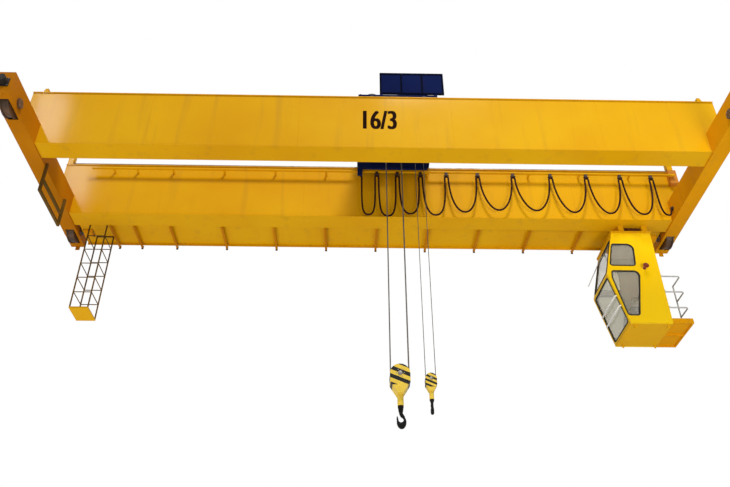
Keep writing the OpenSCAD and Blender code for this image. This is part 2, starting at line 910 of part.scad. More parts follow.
module festoon_track() {
    web_face = girder_inner + flange_lip;
    color("goldenrod") {
        slab(track_ends, [track_y - track_w / 2, track_y + track_w / 2], [track_z, track_z + track_h]);
        for (x = bracket_x)
            slab([x - track_bracket_w / 2, x + track_bracket_w / 2], [track_y + track_w / 2, web_face],
                 [track_z + track_slot, track_z + track_h]);
    }
}

// Festoon cable: hand-chosen hanging points along the span, and the low points between them
cable_d = 40;
peak_z = 1140;
peak_x = [-280, 90, 540, 1050, 1620, 2310, 3090, 3920, 4710, 5460, 6150];
low_z = [80, 50, 115, 90, 180, 240, 240, 205, 190, 175];
// Low point and end of the last stretch, which runs to the right carriage
tail_low = [carriage_in - 110, 160];
cable_end = [carriage_in - 26, 340];
saddle_r = 40;
saddle_steps = 3;
flank_steps = 6;
tail_steps = 4;

function curve(p0, p1, p2, p3, steps) = [for (i = [0:steps])
    let (t = i / steps, u = 1 - t)
    u * u * u * p0 + 3 * u * u * t * p1 + 3 * u * t * t * p2 + t * t * t * p3];

// Narrow loops hang as a U, wide ones as a slack curve
function fullness(w) = max(0.45, min(0.75, 0.75 - (w - 400) * 0.00075));

// Points of a half loop: over the saddle by a quarter turn, then down a cubic curve to the low point
function half_loop(xa, xb, zb) =
    let (s = sign(xb - xa), reach = abs(xb - xa), full = fullness(2 * reach),
         p0 = [xa + s * saddle_r, peak_z - saddle_r], p3 = [xb, zb],
         p1 = p0 - [0, full * (p0[1] - zb)], p2 = p3 - [s * (full + 0.05) * reach, 0])
    concat([for (i = [0:saddle_steps - 1])
                let (a = 90 * i / saddle_steps)
                [xa + s * saddle_r * sin(a), peak_z - saddle_r + saddle_r * cos(a)]],
           curve(p0, p1, p2, p3, flank_steps));

function joined(lists) = [for (l = lists) for (p = l) p];

// The last stretch drops from the last carrier and rises into the carriage
cable_tail =
    let (down = half_loop(peak_x[len(peak_x) - 1], tail_low[0], tail_low[1]), d = cable_end - tail_low,
         up = curve(tail_low, tail_low + [0.6 * d[0], 0], cable_end - [0.2 * d[0], 0.3 * d[1]],
                    cable_end, tail_steps))
    concat([for (k = [1:len(down) - 1]) down[k]], [for (k = [1:len(up) - 1]) up[k]]);

cable_loops = joined([for (i = [0:len(low_z) - 1])
    let (mid = (peak_x[i] + peak_x[i + 1]) / 2,
         down = half_loop(peak_x[i], mid, low_z[i]), up = half_loop(peak_x[i + 1], mid, low_z[i]))
    concat([for (k = [(i == 0 ? 0 : 1):len(down) - 1]) down[k]],
           [for (k = [len(up) - 2:-1:0]) up[k]])]);
cable_route = concat(cable_loops, cable_tail);

cable_sides = 8;

// One closed tube whose rings stand square to the route in the plane of the festoon
module cable_tube(points, r) {
    last = len(points) - 1;
    function way(i) = let (d = points[min(i + 1, last)] - points[max(i - 1, 0)]) d / norm(d);
    rings = [for (i = [0:last])
                let (w = way(i), n = [-w[1], w[0]])
                for (k = [0:cable_sides - 1])
                    let (a = 360 * k / cable_sides)
                    [points[i][0] + r * cos(a) * n[0], track_y + r * sin(a), points[i][1] + r * cos(a) * n[1]]];
    sides = [for (i = [0:last - 1], k = [0:cable_sides - 1])
                let (m = (k + 1) % cable_sides)
                [i * cable_sides + k, i * cable_sides + m, (i + 1) * cable_sides + m, (i + 1) * cable_sides + k]];
    start = [for (k = [cable_sides - 1:-1:0]) k];
    finish = [for (k = [0:cable_sides - 1]) last * cable_sides + k];
    polyhedron(points = rings, faces = concat([start], sides, [finish]));
}

module festoon_cable() {
    color("black") cable_tube(cable_route, cable_d / 2);
}

carrier_l = 110;
carrier_w = 44;

// Carriers hang under the track and hold the cable on a saddle block
module festoon_carriers() {
    low = peak_z + cable_d / 2 + seat;
    color("dimgray")
        for (i = [1:len(peak_x) - 1])
            slab([peak_x[i] - carrier_l / 2, peak_x[i] + carrier_l / 2],
                 [track_y - carrier_w / 2, track_y + carrier_w / 2], [low, track_z - seat]);
}

// Trolley frame
side_w = 200;
side_h = 180;
side_lift = 45;
axle_z = rail_top + trolley_wheel_d / 2;
side_bot = rail_top + side_lift;
side_top = side_bot + side_h;
trolley_xs = [trolley_x - trolley_l / 2, trolley_x + trolley_l / 2];
trolley_base = trolley_l - 2 * trolley_axle_inset;
trolley_axle_d = 70;
trolley_tread_w = 80;
trolley_flange_w = 18;
trolley_flange_h = 16;
trolley_flange_r = trolley_wheel_d / 2 + trolley_flange_h;
trolley_wheel_room = 15;
wheel_side_gap = 6;
axle_past = 20;
lug_l = 26;
lug_w = 30;
lug_h = 100;
lug_inset = 30;
side_in = rail_y - side_w / 2;
side_out = rail_y + side_w / 2;

module trolley_side(s) {
    slot = trolley_tread_w / 2 + trolley_flange_w + wheel_side_gap;
    ys = s > 0 ? [side_in, side_out] : [-side_out, -side_in];
    difference() {
        slab(trolley_xs, ys, [side_bot, side_top]);
        for (sx = [-1, 1])
            translate([trolley_x + sx * trolley_base / 2, s * rail_y, axle_z]) {
                bar_y([-slot, slot], trolley_flange_r + trolley_wheel_room);
                bar_y([-side_w / 2 - 1, side_w / 2 + 1], trolley_axle_d / 2 + fit);
            }
    }
    for (x = [trolley_xs[0] + lug_inset, trolley_xs[1] - lug_inset - lug_l])
        slab([x, x + lug_l], [s * rail_y - lug_w / 2, s * rail_y + lug_w / 2], [side_top, side_top + lug_h]);
}

module trolley_side_near() {
    color("midnightblue") trolley_side(-1);
}

module trolley_side_far() {
    color("midnightblue") trolley_side(1);
}

module trolley_wheel() {
    bar_y([-trolley_tread_w / 2, trolley_tread_w / 2], trolley_wheel_d / 2);
    for (s = [-1, 1]) {
        ys = s > 0 ? [trolley_tread_w / 2, trolley_tread_w / 2 + trolley_flange_w]
                   : [-trolley_tread_w / 2 - trolley_flange_w, -trolley_tread_w / 2];
        bar_y(ys, trolley_flange_r);
    }
    bar_y([-side_w / 2 - axle_past, side_w / 2 + axle_past], trolley_axle_d / 2);
}

module trolley_wheels() {
    color("dimgray")
        for (sx = [-1, 1], sy = [-1, 1])
            translate([trolley_x + sx * trolley_base / 2, sy * rail_y, axle_z])
                trolley_wheel();
}

beam_w = 140;
beam_h = 150;
beam_bot = side_top - beam_h;

module trolley_cross_beams() {
    color("midnightblue")
        for (x = [trolley_xs[0], trolley_xs[1] - beam_w])
            slab([x, x + beam_w], [-side_in, side_in], [beam_bot, side_top]);
}

plate_t = 16;
rope_room = 50;

// Deck plate with slots for the rope falls of both hoists
module trolley_deck() {
    color("midnightblue")
        difference() {
            slab(trolley_xs, [-side_in, side_in], [side_top, side_top + plate_t]);
            slab([main_x - main_pitch_r - rope_room, main_x + main_pitch_r + rope_room],
                 [-fall_y - rope_room, fall_y + rope_room], [side_top - 1, side_top + plate_t + 1]);
            slab([aux_x - aux_pitch_r - rope_room, aux_x + aux_pitch_r + rope_room],
                 [-rope_room, rope_room], [side_top - 1, side_top + plate_t + 1]);
        }
}

fall_y = 60;
deck_top = side_top + plate_t;
drum_lift = 240;
drum_z = deck_top + drum_lift;
drum_l = 1000;
drum_rim = 30;
drum_post_w = 200;
drum_post_t = 60;
drum_shaft_d = 90;
bearing_r = 85;
main_drum_x = main_x - main_pitch_r - main_drum_d / 2;
aux_drum_x = aux_x + aux_pitch_r - aux_drum_d / 2;
post_y = drum_l / 2 + 2 * drum_rim;

// Bearing pedestal: a tapered stand under a round bearing
module pedestal_outline() {
    circle(r = bearing_r);
    polygon([[-drum_post_w / 2, -drum_lift], [drum_post_w / 2, -drum_lift], [bearing_r, 0], [-bearing_r, 0]]);
}

module drum(x, d, rope_d) {
    bare = (d - rope_d) / 2;
    translate([x, 0, drum_z]) {
        bar_y([-drum_l / 2, drum_l / 2], bare);
        for (s = [-1, 1]) {
            rim_ys = s > 0 ? [drum_l / 2, drum_l / 2 + drum_rim] : [-drum_l / 2 - drum_rim, -drum_l / 2];
            bar_y(rim_ys, bare + 2 * rope_d);
            along_y(s > 0 ? [post_y, post_y + drum_post_t] : [-post_y - drum_post_t, -post_y]) pedestal_outline();
        }
        bar_y([-post_y - drum_post_t, post_y + drum_post_t], drum_shaft_d / 2);
    }
}

module main_drum() {
    color("slategray") drum(main_drum_x, main_drum_d, main_rope_d);
}

module aux_drum() {
    color("slategray") drum(aux_drum_x, aux_drum_d, aux_rope_d);
}

// Hoist drives: a gear case outside each drum bearing and a motor between the drums
case_t = 160;
case_gap = 10;
case_r = 180;
case_motor_r = 130;
hoist_motor_d = 230;
hoist_motor_l = 400;
hoist_motor_x = (main_drum_x + aux_drum_x) / 2;
case_y = post_y + drum_post_t + case_gap;
motor_z = deck_top + case_motor_r;

module hoist_drive(drum_x, s) {
    along_y(s > 0 ? [case_y, case_y + case_t] : [-case_y - case_t, -case_y])
        hull() {
            translate([drum_x, drum_z]) circle(r = case_r);
            translate([hoist_motor_x, motor_z]) circle(r = case_motor_r);
        }
    translate([hoist_motor_x, 0, motor_z])
        bar_y(s > 0 ? [case_y - hoist_motor_l, case_y] : [-case_y, hoist_motor_l - case_y], hoist_motor_d / 2);
    slab([min(drum_x, hoist_motor_x), max(drum_x, hoist_motor_x)],
         s > 0 ? [case_y, case_y + case_t] : [-case_y - case_t, -case_y], [deck_top, motor_z]);
}

module hoist_drives() {
    color("steelblue") {
        hoist_drive(main_drum_x, 1);
        hoist_drive(aux_drum_x, -1);
    }
}

// Upper rope anchors: the equalizer sheave of the main rope and the dead end of the auxiliary rope
anchor_h = 160;
anchor_l = 80;
anchor_w = 300;
equalizer_x = main_x + main_pitch_r;
equalizer_lift = 120;
equalizer_z = deck_top + equalizer_lift;
equalizer_w = 40;
equalizer_plate_t = 16;

module equalizer() {
    translate([equalizer_x, 0, equalizer_z]) {
        rotate(90) sheave(fall_y, main_rope_d, equalizer_w);
        for (s = [-1, 1]) {
            xs = s > 0 ? [equalizer_w / 2, equalizer_w / 2 + equalizer_plate_t]
                       : [-equalizer_w / 2 - equalizer_plate_t, -equalizer_w / 2];
            for (side = [-1, 1])
                slab(xs, side > 0 ? [fall_y + rope_room, anchor_w / 2] : [-anchor_w / 2, -fall_y - rope_room],
                     [deck_top - equalizer_z, 0]);
            slab(xs, [-anchor_w / 2, anchor_w / 2], [-fall_y / 2, fall_y / 2]);
        }
    }
}

module rope_anchors() {
    color("slategray") {
        equalizer();
        slab([aux_x - aux_pitch_r - anchor_l / 2, aux_x - aux_pitch_r + anchor_l / 2], [-anchor_w / 2, anchor_w / 2],
             [side_top - anchor_h, side_top]);
    }
}

// Guard screen on the near side beam: three sheets in a dark frame that runs past the end of the trolley
guard_xs = [100, 1425];
guard_lift = 35;
screen_h = 610;
guard_low = side_top + guard_lift;
guard_top = guard_low + screen_h;
guard_ys = [-side_out, 30 - side_out];
frame_w = 36;
sheet_t = 10;
guard_leg_w = 60;

module trolley_guard() {
    step = (guard_xs[1] - guard_xs[0] - frame_w) / 3;
    color("navy") {
        slab(guard_xs, [guard_ys[0] + sheet_t, guard_ys[0] + 2 * sheet_t], [guard_low, guard_top]);
        for (i = [0:3])
            slab([guard_xs[0] + i * step, guard_xs[0] + i * step + frame_w], guard_ys, [guard_low, guard_top]);
        for (z = [guard_low, guard_top - frame_w])
            slab(guard_xs, guard_ys, [z, z + frame_w]);
        for (x = [guard_xs[0], trolley_xs[1] - guard_leg_w])
            slab([x, x + guard_leg_w], guard_ys, [side_top, guard_low]);
    }
}

clamp_x = peak_x[0];
tow_past = 40;
tow_short = 80;
tow_xs = [clamp_x - tow_past, trolley_xs[1] - tow_short];
tow_t = 50;
tow_clear = 45;
tow_face = track_y - track_w / 2 - tow_clear;
tow_ys = [tow_face - tow_t, tow_face];
tow_drop = 225;
tow_low = girder_top - tow_drop;
tow_post_w = 60;
tow_post_insets = [170, 230];
clamp_l = 110;
clamp_drop = 60;
clamp_t = 30;

// Tow bar between the girders, with the arm that draws the first festoon clamp
module tow_arm() {
    color("midnightblue") {
        slab(tow_xs, tow_ys, [tow_low, girder_top]);
        for (x = [trolley_xs[0] + tow_post_insets[0], trolley_xs[1] - tow_post_insets[1] - tow_post_w])
            slab([x, x + tow_post_w], tow_ys, [girder_top, side_top]);
        slab([clamp_x - clamp_l / 2, clamp_x + clamp_l / 2], tow_ys, [peak_z - clamp_drop, tow_low]);
        slab([clamp_x - clamp_l / 2, clamp_x + clamp_l / 2], [tow_ys[1], track_y + cable_d / 2],
             [peak_z + cable_d / 2 + seat, peak_z + cable_d / 2 + clamp_t]);
    }
}

// Hook block sizes
main_block_w = 350;
aux_block_w = 200;
cheek_t = 24;
belly_t = 16;
sheave_w = 44;
aux_sheave_w = 40;
sheave_pin_d = 80;
aux_pin_d = 50;
main_half_w = 100;
aux_half_w = 44;
// Block body: length of the straight sides, of the taper, and thickness of the floor
main_body = [150, 205, 50];
aux_body = [110, 115, 40];
// Neck: diameter and length, shank diameter, and length of the collar nut below it
neck_main = [106, 200, 64, 115];
neck_aux = [80, 144, 44, 60];

function block_axis(top, w) = top - w / 2;
function block_low(top, w, body) = block_axis(top, w) - body[0] - body[1];

// One fall of rope from the sheave axis up to the trolley
module fall(x, y, low, high, d) {
    translate([x, y, low]) cylinder(d = d, h = high - low);
}

module main_ropes() {
    low = block_axis(-main_drop, main_block_w);
    color("dimgray")
        for (sy = [-1, 1]) {
            fall(main_x - main_pitch_r, sy * fall_y, low, drum_z, main_rope_d);
            fall(equalizer_x, sy * fall_y, low, equalizer_z, main_rope_d);
        }
}

module aux_ropes() {
    low = block_axis(-aux_drop, aux_block_w);
    color("dimgray") {
        fall(aux_x + aux_pitch_r, 0, low, drum_z, aux_rope_d);
        fall(aux_x - aux_pitch_r, 0, low, side_top - anchor_h - seat, aux_rope_d);
    }
}

// Cheek plate: round over the sheaves, straight sides, then a taper down to the neck
module cheek_outline(w, body, neck_d) {
    circle(d = w);
    polygon([[-w / 2, 0], [-w / 2, -body[0]], [-neck_d / 2, -body[0] - body[1]], [neck_d / 2, -body[0] - body[1]],
             [w / 2, -body[0]], [w / 2, 0]]);
}

// Belly plate between the cheeks, under the sheaves
module belly_outline(w, body, neck_d) {
    low = -body[0] - body[1];
    lip = -body[0] * 0.8;
    in = w / 2 - belly_t;
    polygon([[-w / 2, lip], [-w / 2, -body[0]], [-neck_d / 2, low], [neck_d / 2, low], [w / 2, -body[0]],
             [w / 2, lip], [in, lip], [in, -body[0]], [neck_d / 2, low + body[2]],
             [-neck_d / 2, low + body[2]], [-in, -body[0]], [-in, lip]]);
}

// A hook block: two cheeks, the belly plate and the neck that carries the hook
module block(x, top, w, body, half, neck, pin_d) {
    axis = block_axis(top, w);
    low = block_low(top, w, body);
    translate([x, 0, 0])
        difference() {
            union() {
                for (s = [-1, 1])
                    along_y(s > 0 ? [half, half + cheek_t] : [-half - cheek_t, -half])
                        translate([0, axis]) cheek_outline(w, body, neck[0]);
                along_y([-half, half])
                    translate([0, axis]) belly_outline(w, body, neck[0]);
                translate([0, 0, low - neck[1]]) cylinder(d = neck[0], h = neck[1] + body[2] / 2);
            }
            translate([0, 0, low - neck[1] - 1]) cylinder(d = neck[2] + 2 * fit, h = neck[1] + body[2] + 2);
            translate([0, 0, axis]) bar_y([-half - cheek_t - 1, half + cheek_t + 1], pin_d / 2 + fit);
        }
}

// Grooved sheave turned from one profile, its axis along Y
module sheave(pitch_r, rope_d, w) {
    rotate([90, 0, 0])
        rotate_extrude()
            difference() {
                translate([0, -w / 2]) square([pitch_r + rope_d * 0.75, w]);
                translate([pitch_r, 0]) circle(d = rope_d + 2 * seat);
                translate([pitch_r, -rope_d / 2 - seat]) square([2 * rope_d, rope_d + 2 * seat]);
            }
}

module sheave_pin(half, d) {
    bar_y([-half - cheek_t, half + cheek_t], d / 2);
}

module main_block() {
    color("gold") block(main_x, -main_drop, main_block_w, main_body, main_half_w, neck_main, sheave_pin_d);
}

module main_sheaves() {
    color("dimgray")
        translate([main_x, 0, block_axis(-main_drop, main_block_w)]) {
            for (s = [-1, 1])
                translate([0, s * fall_y, 0]) sheave(main_pitch_r, main_rope_d, sheave_w);
            sheave_pin(main_half_w, sheave_pin_d);
        }
}

module aux_block() {
    color("gold") block(aux_x, -aux_drop, aux_block_w, aux_body, aux_half_w, neck_aux, aux_pin_d);
}

module aux_sheave() {
    color("dimgray")
        translate([aux_x, 0, block_axis(-aux_drop, aux_block_w)]) {
            sheave(aux_pitch_r, aux_rope_d, aux_sheave_w);
            sheave_pin(aux_half_w, aux_pin_d);
        }
}

// Point hook drawn about the centre of its throat: a deep bowl, a flared tip and the shank above it
throat_r = 42;
bowl = [82, 118];
bowl_shift = [8, -40];
hook_drop = 134;
shank_step = 95;
throat_lead = 6;
mouth_h = 56;
tip_base = 12;
tip_h = 66;

module hook_outline(shank_d) {
    difference() {
        union() {
            translate(bowl_shift) scale(bowl) circle(r = 1);
            polygon([[-shank_d / 2, hook_drop], [-shank_d / 2, shank_step], [-throat_lead, mouth_h], [0, 0],
                     [bowl[0], -tip_base], [shank_d, mouth_h], [shank_d / 2, hook_drop]]);
        }
        circle(r = throat_r);
        polygon([[0, 0], [-throat_lead, mouth_h], [-shank_d / 2, shank_step], [-shank_d / 2, hook_drop + 1],
                 [-3 * throat_r, hook_drop], [-3 * throat_r, tip_base], [-throat_r, tip_base]]);
    }
    polygon(rounded([[-throat_r + 2, -tip_base], [-throat_r - 10, tip_h], [-throat_r - 30, tip_h],
                     [-throat_r - 33, -tip_base], [-throat_r - 20, -throat_r]], [60, 9, 9, 30, 4]));
}

shank_past = 25;
nut_t = 40;
nut_share = 1.35;
collar_shares = [1.05, 0.95];

// Hook with its tapered collar nut under the neck, shank through it and nut on the block floor
module hook(size, neck, body, low, half_t) {
    shank_r = neck[2] / 2;
    under = low - neck[1] - seat;
    floor_z = low + body[2] + seat;
    translate([0, 0, under - neck[3]])
        cylinder(d1 = neck[2] * collar_shares[0], d2 = neck[0] * collar_shares[1], h = neck[3]);
    translate([0, 0, under - 1]) cylinder(r = shank_r, h = floor_z - under + nut_t + shank_past);
    translate([0, 0, floor_z]) cylinder(r = shank_r * nut_share, h = nut_t);
    along_y([-half_t, half_t])
        translate([0, under - neck[3] - hook_drop * size])
            scale(size)
                hook_outline(neck[2] / size);
}

aux_hook_size = 0.72;
main_hook_t = 38;
aux_hook_t = 28;

module main_hook() {
    color("dimgray")
        translate([main_x, 0, 0])
            hook(1, neck_main, main_body, block_low(-main_drop, main_block_w, main_body), main_hook_t);
}

module aux_hook() {
    color("dimgray")
        translate([aux_x, 0, 0])
            rotate([0, 0, 90])
                hook(aux_hook_size, neck_aux, aux_body, block_low(-aux_drop, aux_block_w, aux_body), aux_hook_t);
}

girder_near();
girder_far();
trolley_rail_near();
trolley_rail_far();
end_stops_left();
end_stops_right();
carriage_left();
carriage_right();
wheels_left();
wheels_right();
buffers();
walkway();
walkway_railing();
drive_left();
drive_right();
collector_frame();
cage_near_side();
cage_far_side();
cage_left_side();
cage_right_side();
cage_floor();
cab_near_wall();
cab_far_wall();
cab_back_wall();
cab_front_upper();
cab_front_lower();
cab_floor();
cab_roof();
cab_glass_near();
cab_glass_far();
cab_glass_upper();
cab_glass_lower();
cab_hangers();
cab_platform();
cab_guard_rail();
cab_horn();
cab_seat();
festoon_track();
festoon_carriers();
festoon_cable();
trolley_side_near();
trolley_side_far();
trolley_cross_beams();
trolley_deck();
trolley_wheels();
main_drum();
aux_drum();
hoist_drives();
trolley_guard();
tow_arm();
rope_anchors();
main_ropes();
aux_ropes();
main_block();
main_sheaves();
main_hook();
aux_block();
aux_sheave();
aux_hook();
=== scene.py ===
import json
from math import asin, atan2, copysign, cos, pi, radians, sin, sqrt

import bmesh
import bpy
from mathutils import Matrix, Vector


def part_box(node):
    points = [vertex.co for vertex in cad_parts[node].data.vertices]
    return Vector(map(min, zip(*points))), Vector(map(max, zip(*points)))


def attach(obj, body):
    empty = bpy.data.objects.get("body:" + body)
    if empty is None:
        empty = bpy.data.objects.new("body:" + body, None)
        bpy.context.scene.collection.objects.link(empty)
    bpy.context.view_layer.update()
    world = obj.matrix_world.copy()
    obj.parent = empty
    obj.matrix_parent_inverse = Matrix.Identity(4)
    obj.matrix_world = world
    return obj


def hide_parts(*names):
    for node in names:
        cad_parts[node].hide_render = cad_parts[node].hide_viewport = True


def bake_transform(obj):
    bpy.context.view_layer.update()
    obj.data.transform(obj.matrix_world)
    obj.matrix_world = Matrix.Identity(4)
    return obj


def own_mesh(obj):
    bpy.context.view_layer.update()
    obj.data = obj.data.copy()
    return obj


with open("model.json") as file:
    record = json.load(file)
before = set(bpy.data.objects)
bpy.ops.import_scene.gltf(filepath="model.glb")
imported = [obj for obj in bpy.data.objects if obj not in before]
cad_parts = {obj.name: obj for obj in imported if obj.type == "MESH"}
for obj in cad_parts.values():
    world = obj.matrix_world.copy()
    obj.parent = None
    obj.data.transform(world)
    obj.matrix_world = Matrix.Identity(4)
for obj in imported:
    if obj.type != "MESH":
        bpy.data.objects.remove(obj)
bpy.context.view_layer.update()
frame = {"nodes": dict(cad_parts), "record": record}
nodes = frame["nodes"]

# Camera of the photograph, worked out from the vanishing points of the girders
IMAGE_W = 730
FOCAL_PX = 762
SENSOR_MM = 36
CAMERA_AT = (-0.427, -12.13, -9.65)
CAMERA_PITCH = 34.9
CAMERA_YAW = 1.15
FLOOR_Z = -11.2
CAB_MIDDLE = (5.5, 1.615, -1.2)

X_AXIS = Vector((1, 0, 0))
Y_AXIS = Vector((0, 1, 0))
Z_AXIS = Vector((0, 0, 1))


# Materials

class Nodes:
    """A node tree under construction."""

    def __init__(self, tree):
        self.tree = tree

    def add(self, kind, inputs=None, **settings):
        node = self.tree.nodes.new("ShaderNode" + kind)
        for key, value in settings.items():
            setattr(node, key, value)
        for key, value in (inputs or {}).items():
            self.feed(node.inputs[key], value)
        return node

    def feed(self, socket, value):
        if isinstance(value, bpy.types.NodeSocket):
            self.tree.links.new(value, socket)
        else:
            socket.default_value = value

    def math(self, operation, *values):
        return self.add("Math", dict(enumerate(values)), operation=operation).outputs[0]


# Every material by its name, which is the slot's where a CAD slot has one
MATERIALS = {}


class Paint(Nodes):
    """A node material, mapped by the shared frame in metres."""

    def __init__(self, name, **sockets):
        self.material = MATERIALS[name] = bpy.data.materials.new(name)
        self.material.use_nodes = True
        super().__init__(self.material.node_tree)
        self.shader = self.tree.nodes["Principled BSDF"]
        self.place = self.add("TexCoord").outputs["Object"]
        for key, value in sockets.items():
            self.set(key.replace("_", " ").title().replace("Ior", "IOR"), value)

    def set(self, socket, value):
        self.feed(self.shader.inputs[socket], value)

    def noise(self, scale, detail=4.0, stretch=None, roughness=0.55):
        place = self.place
        if stretch:
            place = self.add("Mapping", {"Vector": place, "Scale": stretch}).outputs[0]
        made = self.add("TexNoise", {"Vector": place, "Scale": scale, "Detail": detail,
                                               "Roughness": roughness})
        return made.outputs["Fac"]

    def ramp(self, value, stops):
        made = self.add("ValToRGB", {"Fac": value})
        points = made.color_ramp.elements
        while len(points) < len(stops):
            points.new(0.5)
        for point, (position, colour) in zip(points, stops):
            point.position = position
            point.color = (*colour, 1) if isinstance(colour, tuple) else (colour, colour, colour, 1)
        return made.outputs["Color"]

    def tones(self, stops, *noise, **settings):
        return self.ramp(self.noise(*noise, **settings), stops)

    def mix(self, factor, first, second, mode="MIX"):
        made = self.add("Mix", data_type="RGBA", blend_type=mode)
        for index, value in ((0, factor), (6, first), (7, second)):
            self.feed(made.inputs[index], (*value, 1) if isinstance(value, tuple) else value)
        return made.outputs[2]

    def dot(self, first, second):
        made = self.add("VectorMath", {0: first, 1: second}, operation="DOT_PRODUCT")
        return made.outputs["Value"]

    def edges(self, radius):
        """White where the surface turns sharply, black on flat ground."""
        round_normal = self.add("Bevel", {"Radius": radius}, samples=4).outputs[0]
        flat_normal = self.add("NewGeometry").outputs["Normal"]
        return self.ramp(self.dot(round_normal, flat_normal), [(0.86, 1.0), (0.985, 0.0)])

    def rubbed_edges(self, radius):
        """The edges, broken up by fine noise."""
        broken = self.tones([(0.48, 0.0), (0.66, 0.8)], 35.0, 6, roughness=0.75)
        return self.mix(1.0, self.edges(radius), broken, "MULTIPLY")

    def facing(self, point):
        """White on the faces that look towards a point."""
        way = self.add("VectorMath", {0: point, 1: self.place}, operation="SUBTRACT").outputs[0]
        normal = self.add("NewGeometry").outputs["Normal"]
        return self.ramp(self.dot(way, normal), [(0.0, 0.0), (0.02, 1.0)])

    def bump(self, height, strength, distance):
        made = self.add("Bump", {"Height": height, "Strength": strength, "Distance": distance})
        self.set("Normal", made.outputs[0])


def painted(name, deep, bright, grime, worn, gloss=0.42, shine=0.02, coat=0.10, grime_share=0.3,
            lining=None):
    """Paint on plate: slow tone changes, rain streaks, dust specks and rubbed edges."""
    paint = Paint(name, specular_ior_level=shine, coat_weight=coat, coat_roughness=0.10)
    tone = paint.tones([(0.32, deep), (0.68, bright)], 0.45, 3)
    streaks = paint.tones([(0.55, 0.0), (0.80, grime_share)], 1.0, 6, stretch=(4.5, 4.5, 0.30))
    dusty = paint.mix(streaks, tone, grime)
    specks = paint.tones([(0.68, 0.0), (0.80, 0.4)], 9.0, 8, roughness=0.7)
    dusty = paint.mix(specks, dusty, grime)
    colour = paint.mix(paint.rubbed_edges(0.010), dusty, worn)
    if lining:
        colour = paint.mix(paint.facing(CAB_MIDDLE), colour, paint.tones(lining, 2.0, 5))
    paint.set("Base Color", colour)
    paint.set("Roughness", paint.tones([(0.3, gloss), (0.8, gloss + 0.16)], 3.0, 5))
    paint.bump(paint.noise(55.0, 3), 0.06, 0.004)
    return paint.material


def bare_metal(name, dark, light, rust, rust_share=0.5, metallic=0.8, rough=0.42):
    """Bare or oiled metal with rust in patches and fine scratches."""
    paint = Paint(name, metallic=metallic)
    tone = paint.tones([(0.3, dark), (0.7, light)], 6.0, 6)
    patches = paint.tones([(0.46, 0.0), (0.66, rust_share)], 2.6, 8, roughness=0.68)
    paint.set("Base Color", paint.mix(patches, tone, rust))
    paint.set("Roughness", paint.tones([(0.25, rough), (0.8, rough + 0.25)], 14.0, 5))
    paint.bump(paint.noise(90.0, 4), 0.12, 0.003)
    return paint.material


def rubber(name, colour, dust, shine=0.2):
    """Dull rubber or vinyl with dust in its grain."""
    paint = Paint(name, specular_ior_level=shine)
    paint.set("Base Color", paint.tones([(0.35, colour), (0.8, dust)], 12.0, 6))
    paint.set("Roughness", paint.tones([(0.3, 0.55), (0.8, 0.8)], 30.0, 4))
    paint.bump(paint.noise(160.0, 3), 0.15, 0.002)
    return paint.material


def dimmed(colour, share):
    return tuple(share * c for c in colour)


def clear_glass(name, tint):
    """Slightly grey glass with smears."""
    paint = Paint(name, transmission_weight=0.78, ior=1.45, specular_ior_level=0.6)
    paint.set("Base Color", paint.tones([(0.3, tint), (0.8, dimmed(tint, 0.9))], 1.5, 4))
    paint.set("Roughness", paint.tones([(0.4, 0.02), (0.85, 0.14)], 4.0, 6))
    return paint.material


def striped(name, first, second, band, lean, barrel):
    """Warning bands that lean across the barrel of a block, with plain paint below it."""
    paint = Paint(name, specular_ior_level=0.15)
    split = paint.add("SeparateXYZ", {"Vector": paint.place}).outputs
    lifted = paint.math("MULTIPLY_ADD", split["X"], lean, split["Z"])
    share = paint.math("FRACT", paint.math("DIVIDE", lifted, band))
    above = paint.math("GREATER_THAN", split["Z"], barrel)
    in_band = paint.ramp(share, [(0.495, 0.0), (0.505, 1.0)])
    is_black = paint.mix(above, (0.0, 0.0, 0.0), in_band)
    ground = paint.tones([(0.3, first), (0.8, dimmed(first, 0.85))], 8.0, 5)
    tone = paint.mix(is_black, ground, second)
    paint.set("Base Color", paint.mix(paint.rubbed_edges(0.008), tone, SCUFF))
    paint.set("Roughness", paint.tones([(0.3, 0.4), (0.8, 0.6)], 12.0, 5))
    paint.bump(paint.noise(70.0, 3), 0.08, 0.003)
    return paint.material


YELLOW = (0.74, 0.40, 0.004)
YELLOW_DEEP = (0.68, 0.33, 0.003)
PALE_YELLOW = (0.82, 0.58, 0.07)
RUST = (0.16, 0.065, 0.025)
GRIME = (0.34, 0.17, 0.03)
SCUFF = (0.12, 0.09, 0.07)
LINING = [(0.3, (0.62, 0.62, 0.58)), (0.8, (0.72, 0.72, 0.68))]
BLACK = (0.012, 0.012, 0.012)

yellow = painted("yellow_paint", YELLOW_DEEP, YELLOW, GRIME, RUST)
# Painted light: the cab's yellow is lighter than the girders' to stand in for the light on the cab's face;
# the grey lining on the faces that look into the cab is its own colour.
cab_lit_yellow = painted("cab_painted_light", (0.84, 0.52, 0.004), (0.90, 0.58, 0.005), GRIME, RUST, grime_share=0.12,
                     lining=LINING)
painted("navy_paint", (0.006, 0.011, 0.058), (0.010, 0.018, 0.090), (0.02, 0.02, 0.03), (0.06, 0.06, 0.08),
        shine=0.0, coat=0.0)
navy_dark = painted("edging_paint", (0.003, 0.004, 0.014), (0.006, 0.007, 0.022), (0.015, 0.015, 0.02),
                    (0.04, 0.04, 0.05), shine=0.0, coat=0.0)
machine = painted("machine_paint", (0.09, 0.12, 0.15), (0.14, 0.18, 0.21), (0.05, 0.04, 0.03), RUST,
                  shine=0.3)
grey = painted("grey_paint", (0.36, 0.36, 0.34), (0.48, 0.48, 0.46), (0.25, 0.22, 0.18), RUST, shine=0.3)
painted("red_paint", (0.20, 0.03, 0.012), (0.30, 0.05, 0.02), (0.05, 0.03, 0.02), RUST, shine=0.4)
orange = painted("box_paint", (0.50, 0.18, 0.02), (0.60, 0.24, 0.03), GRIME, RUST)
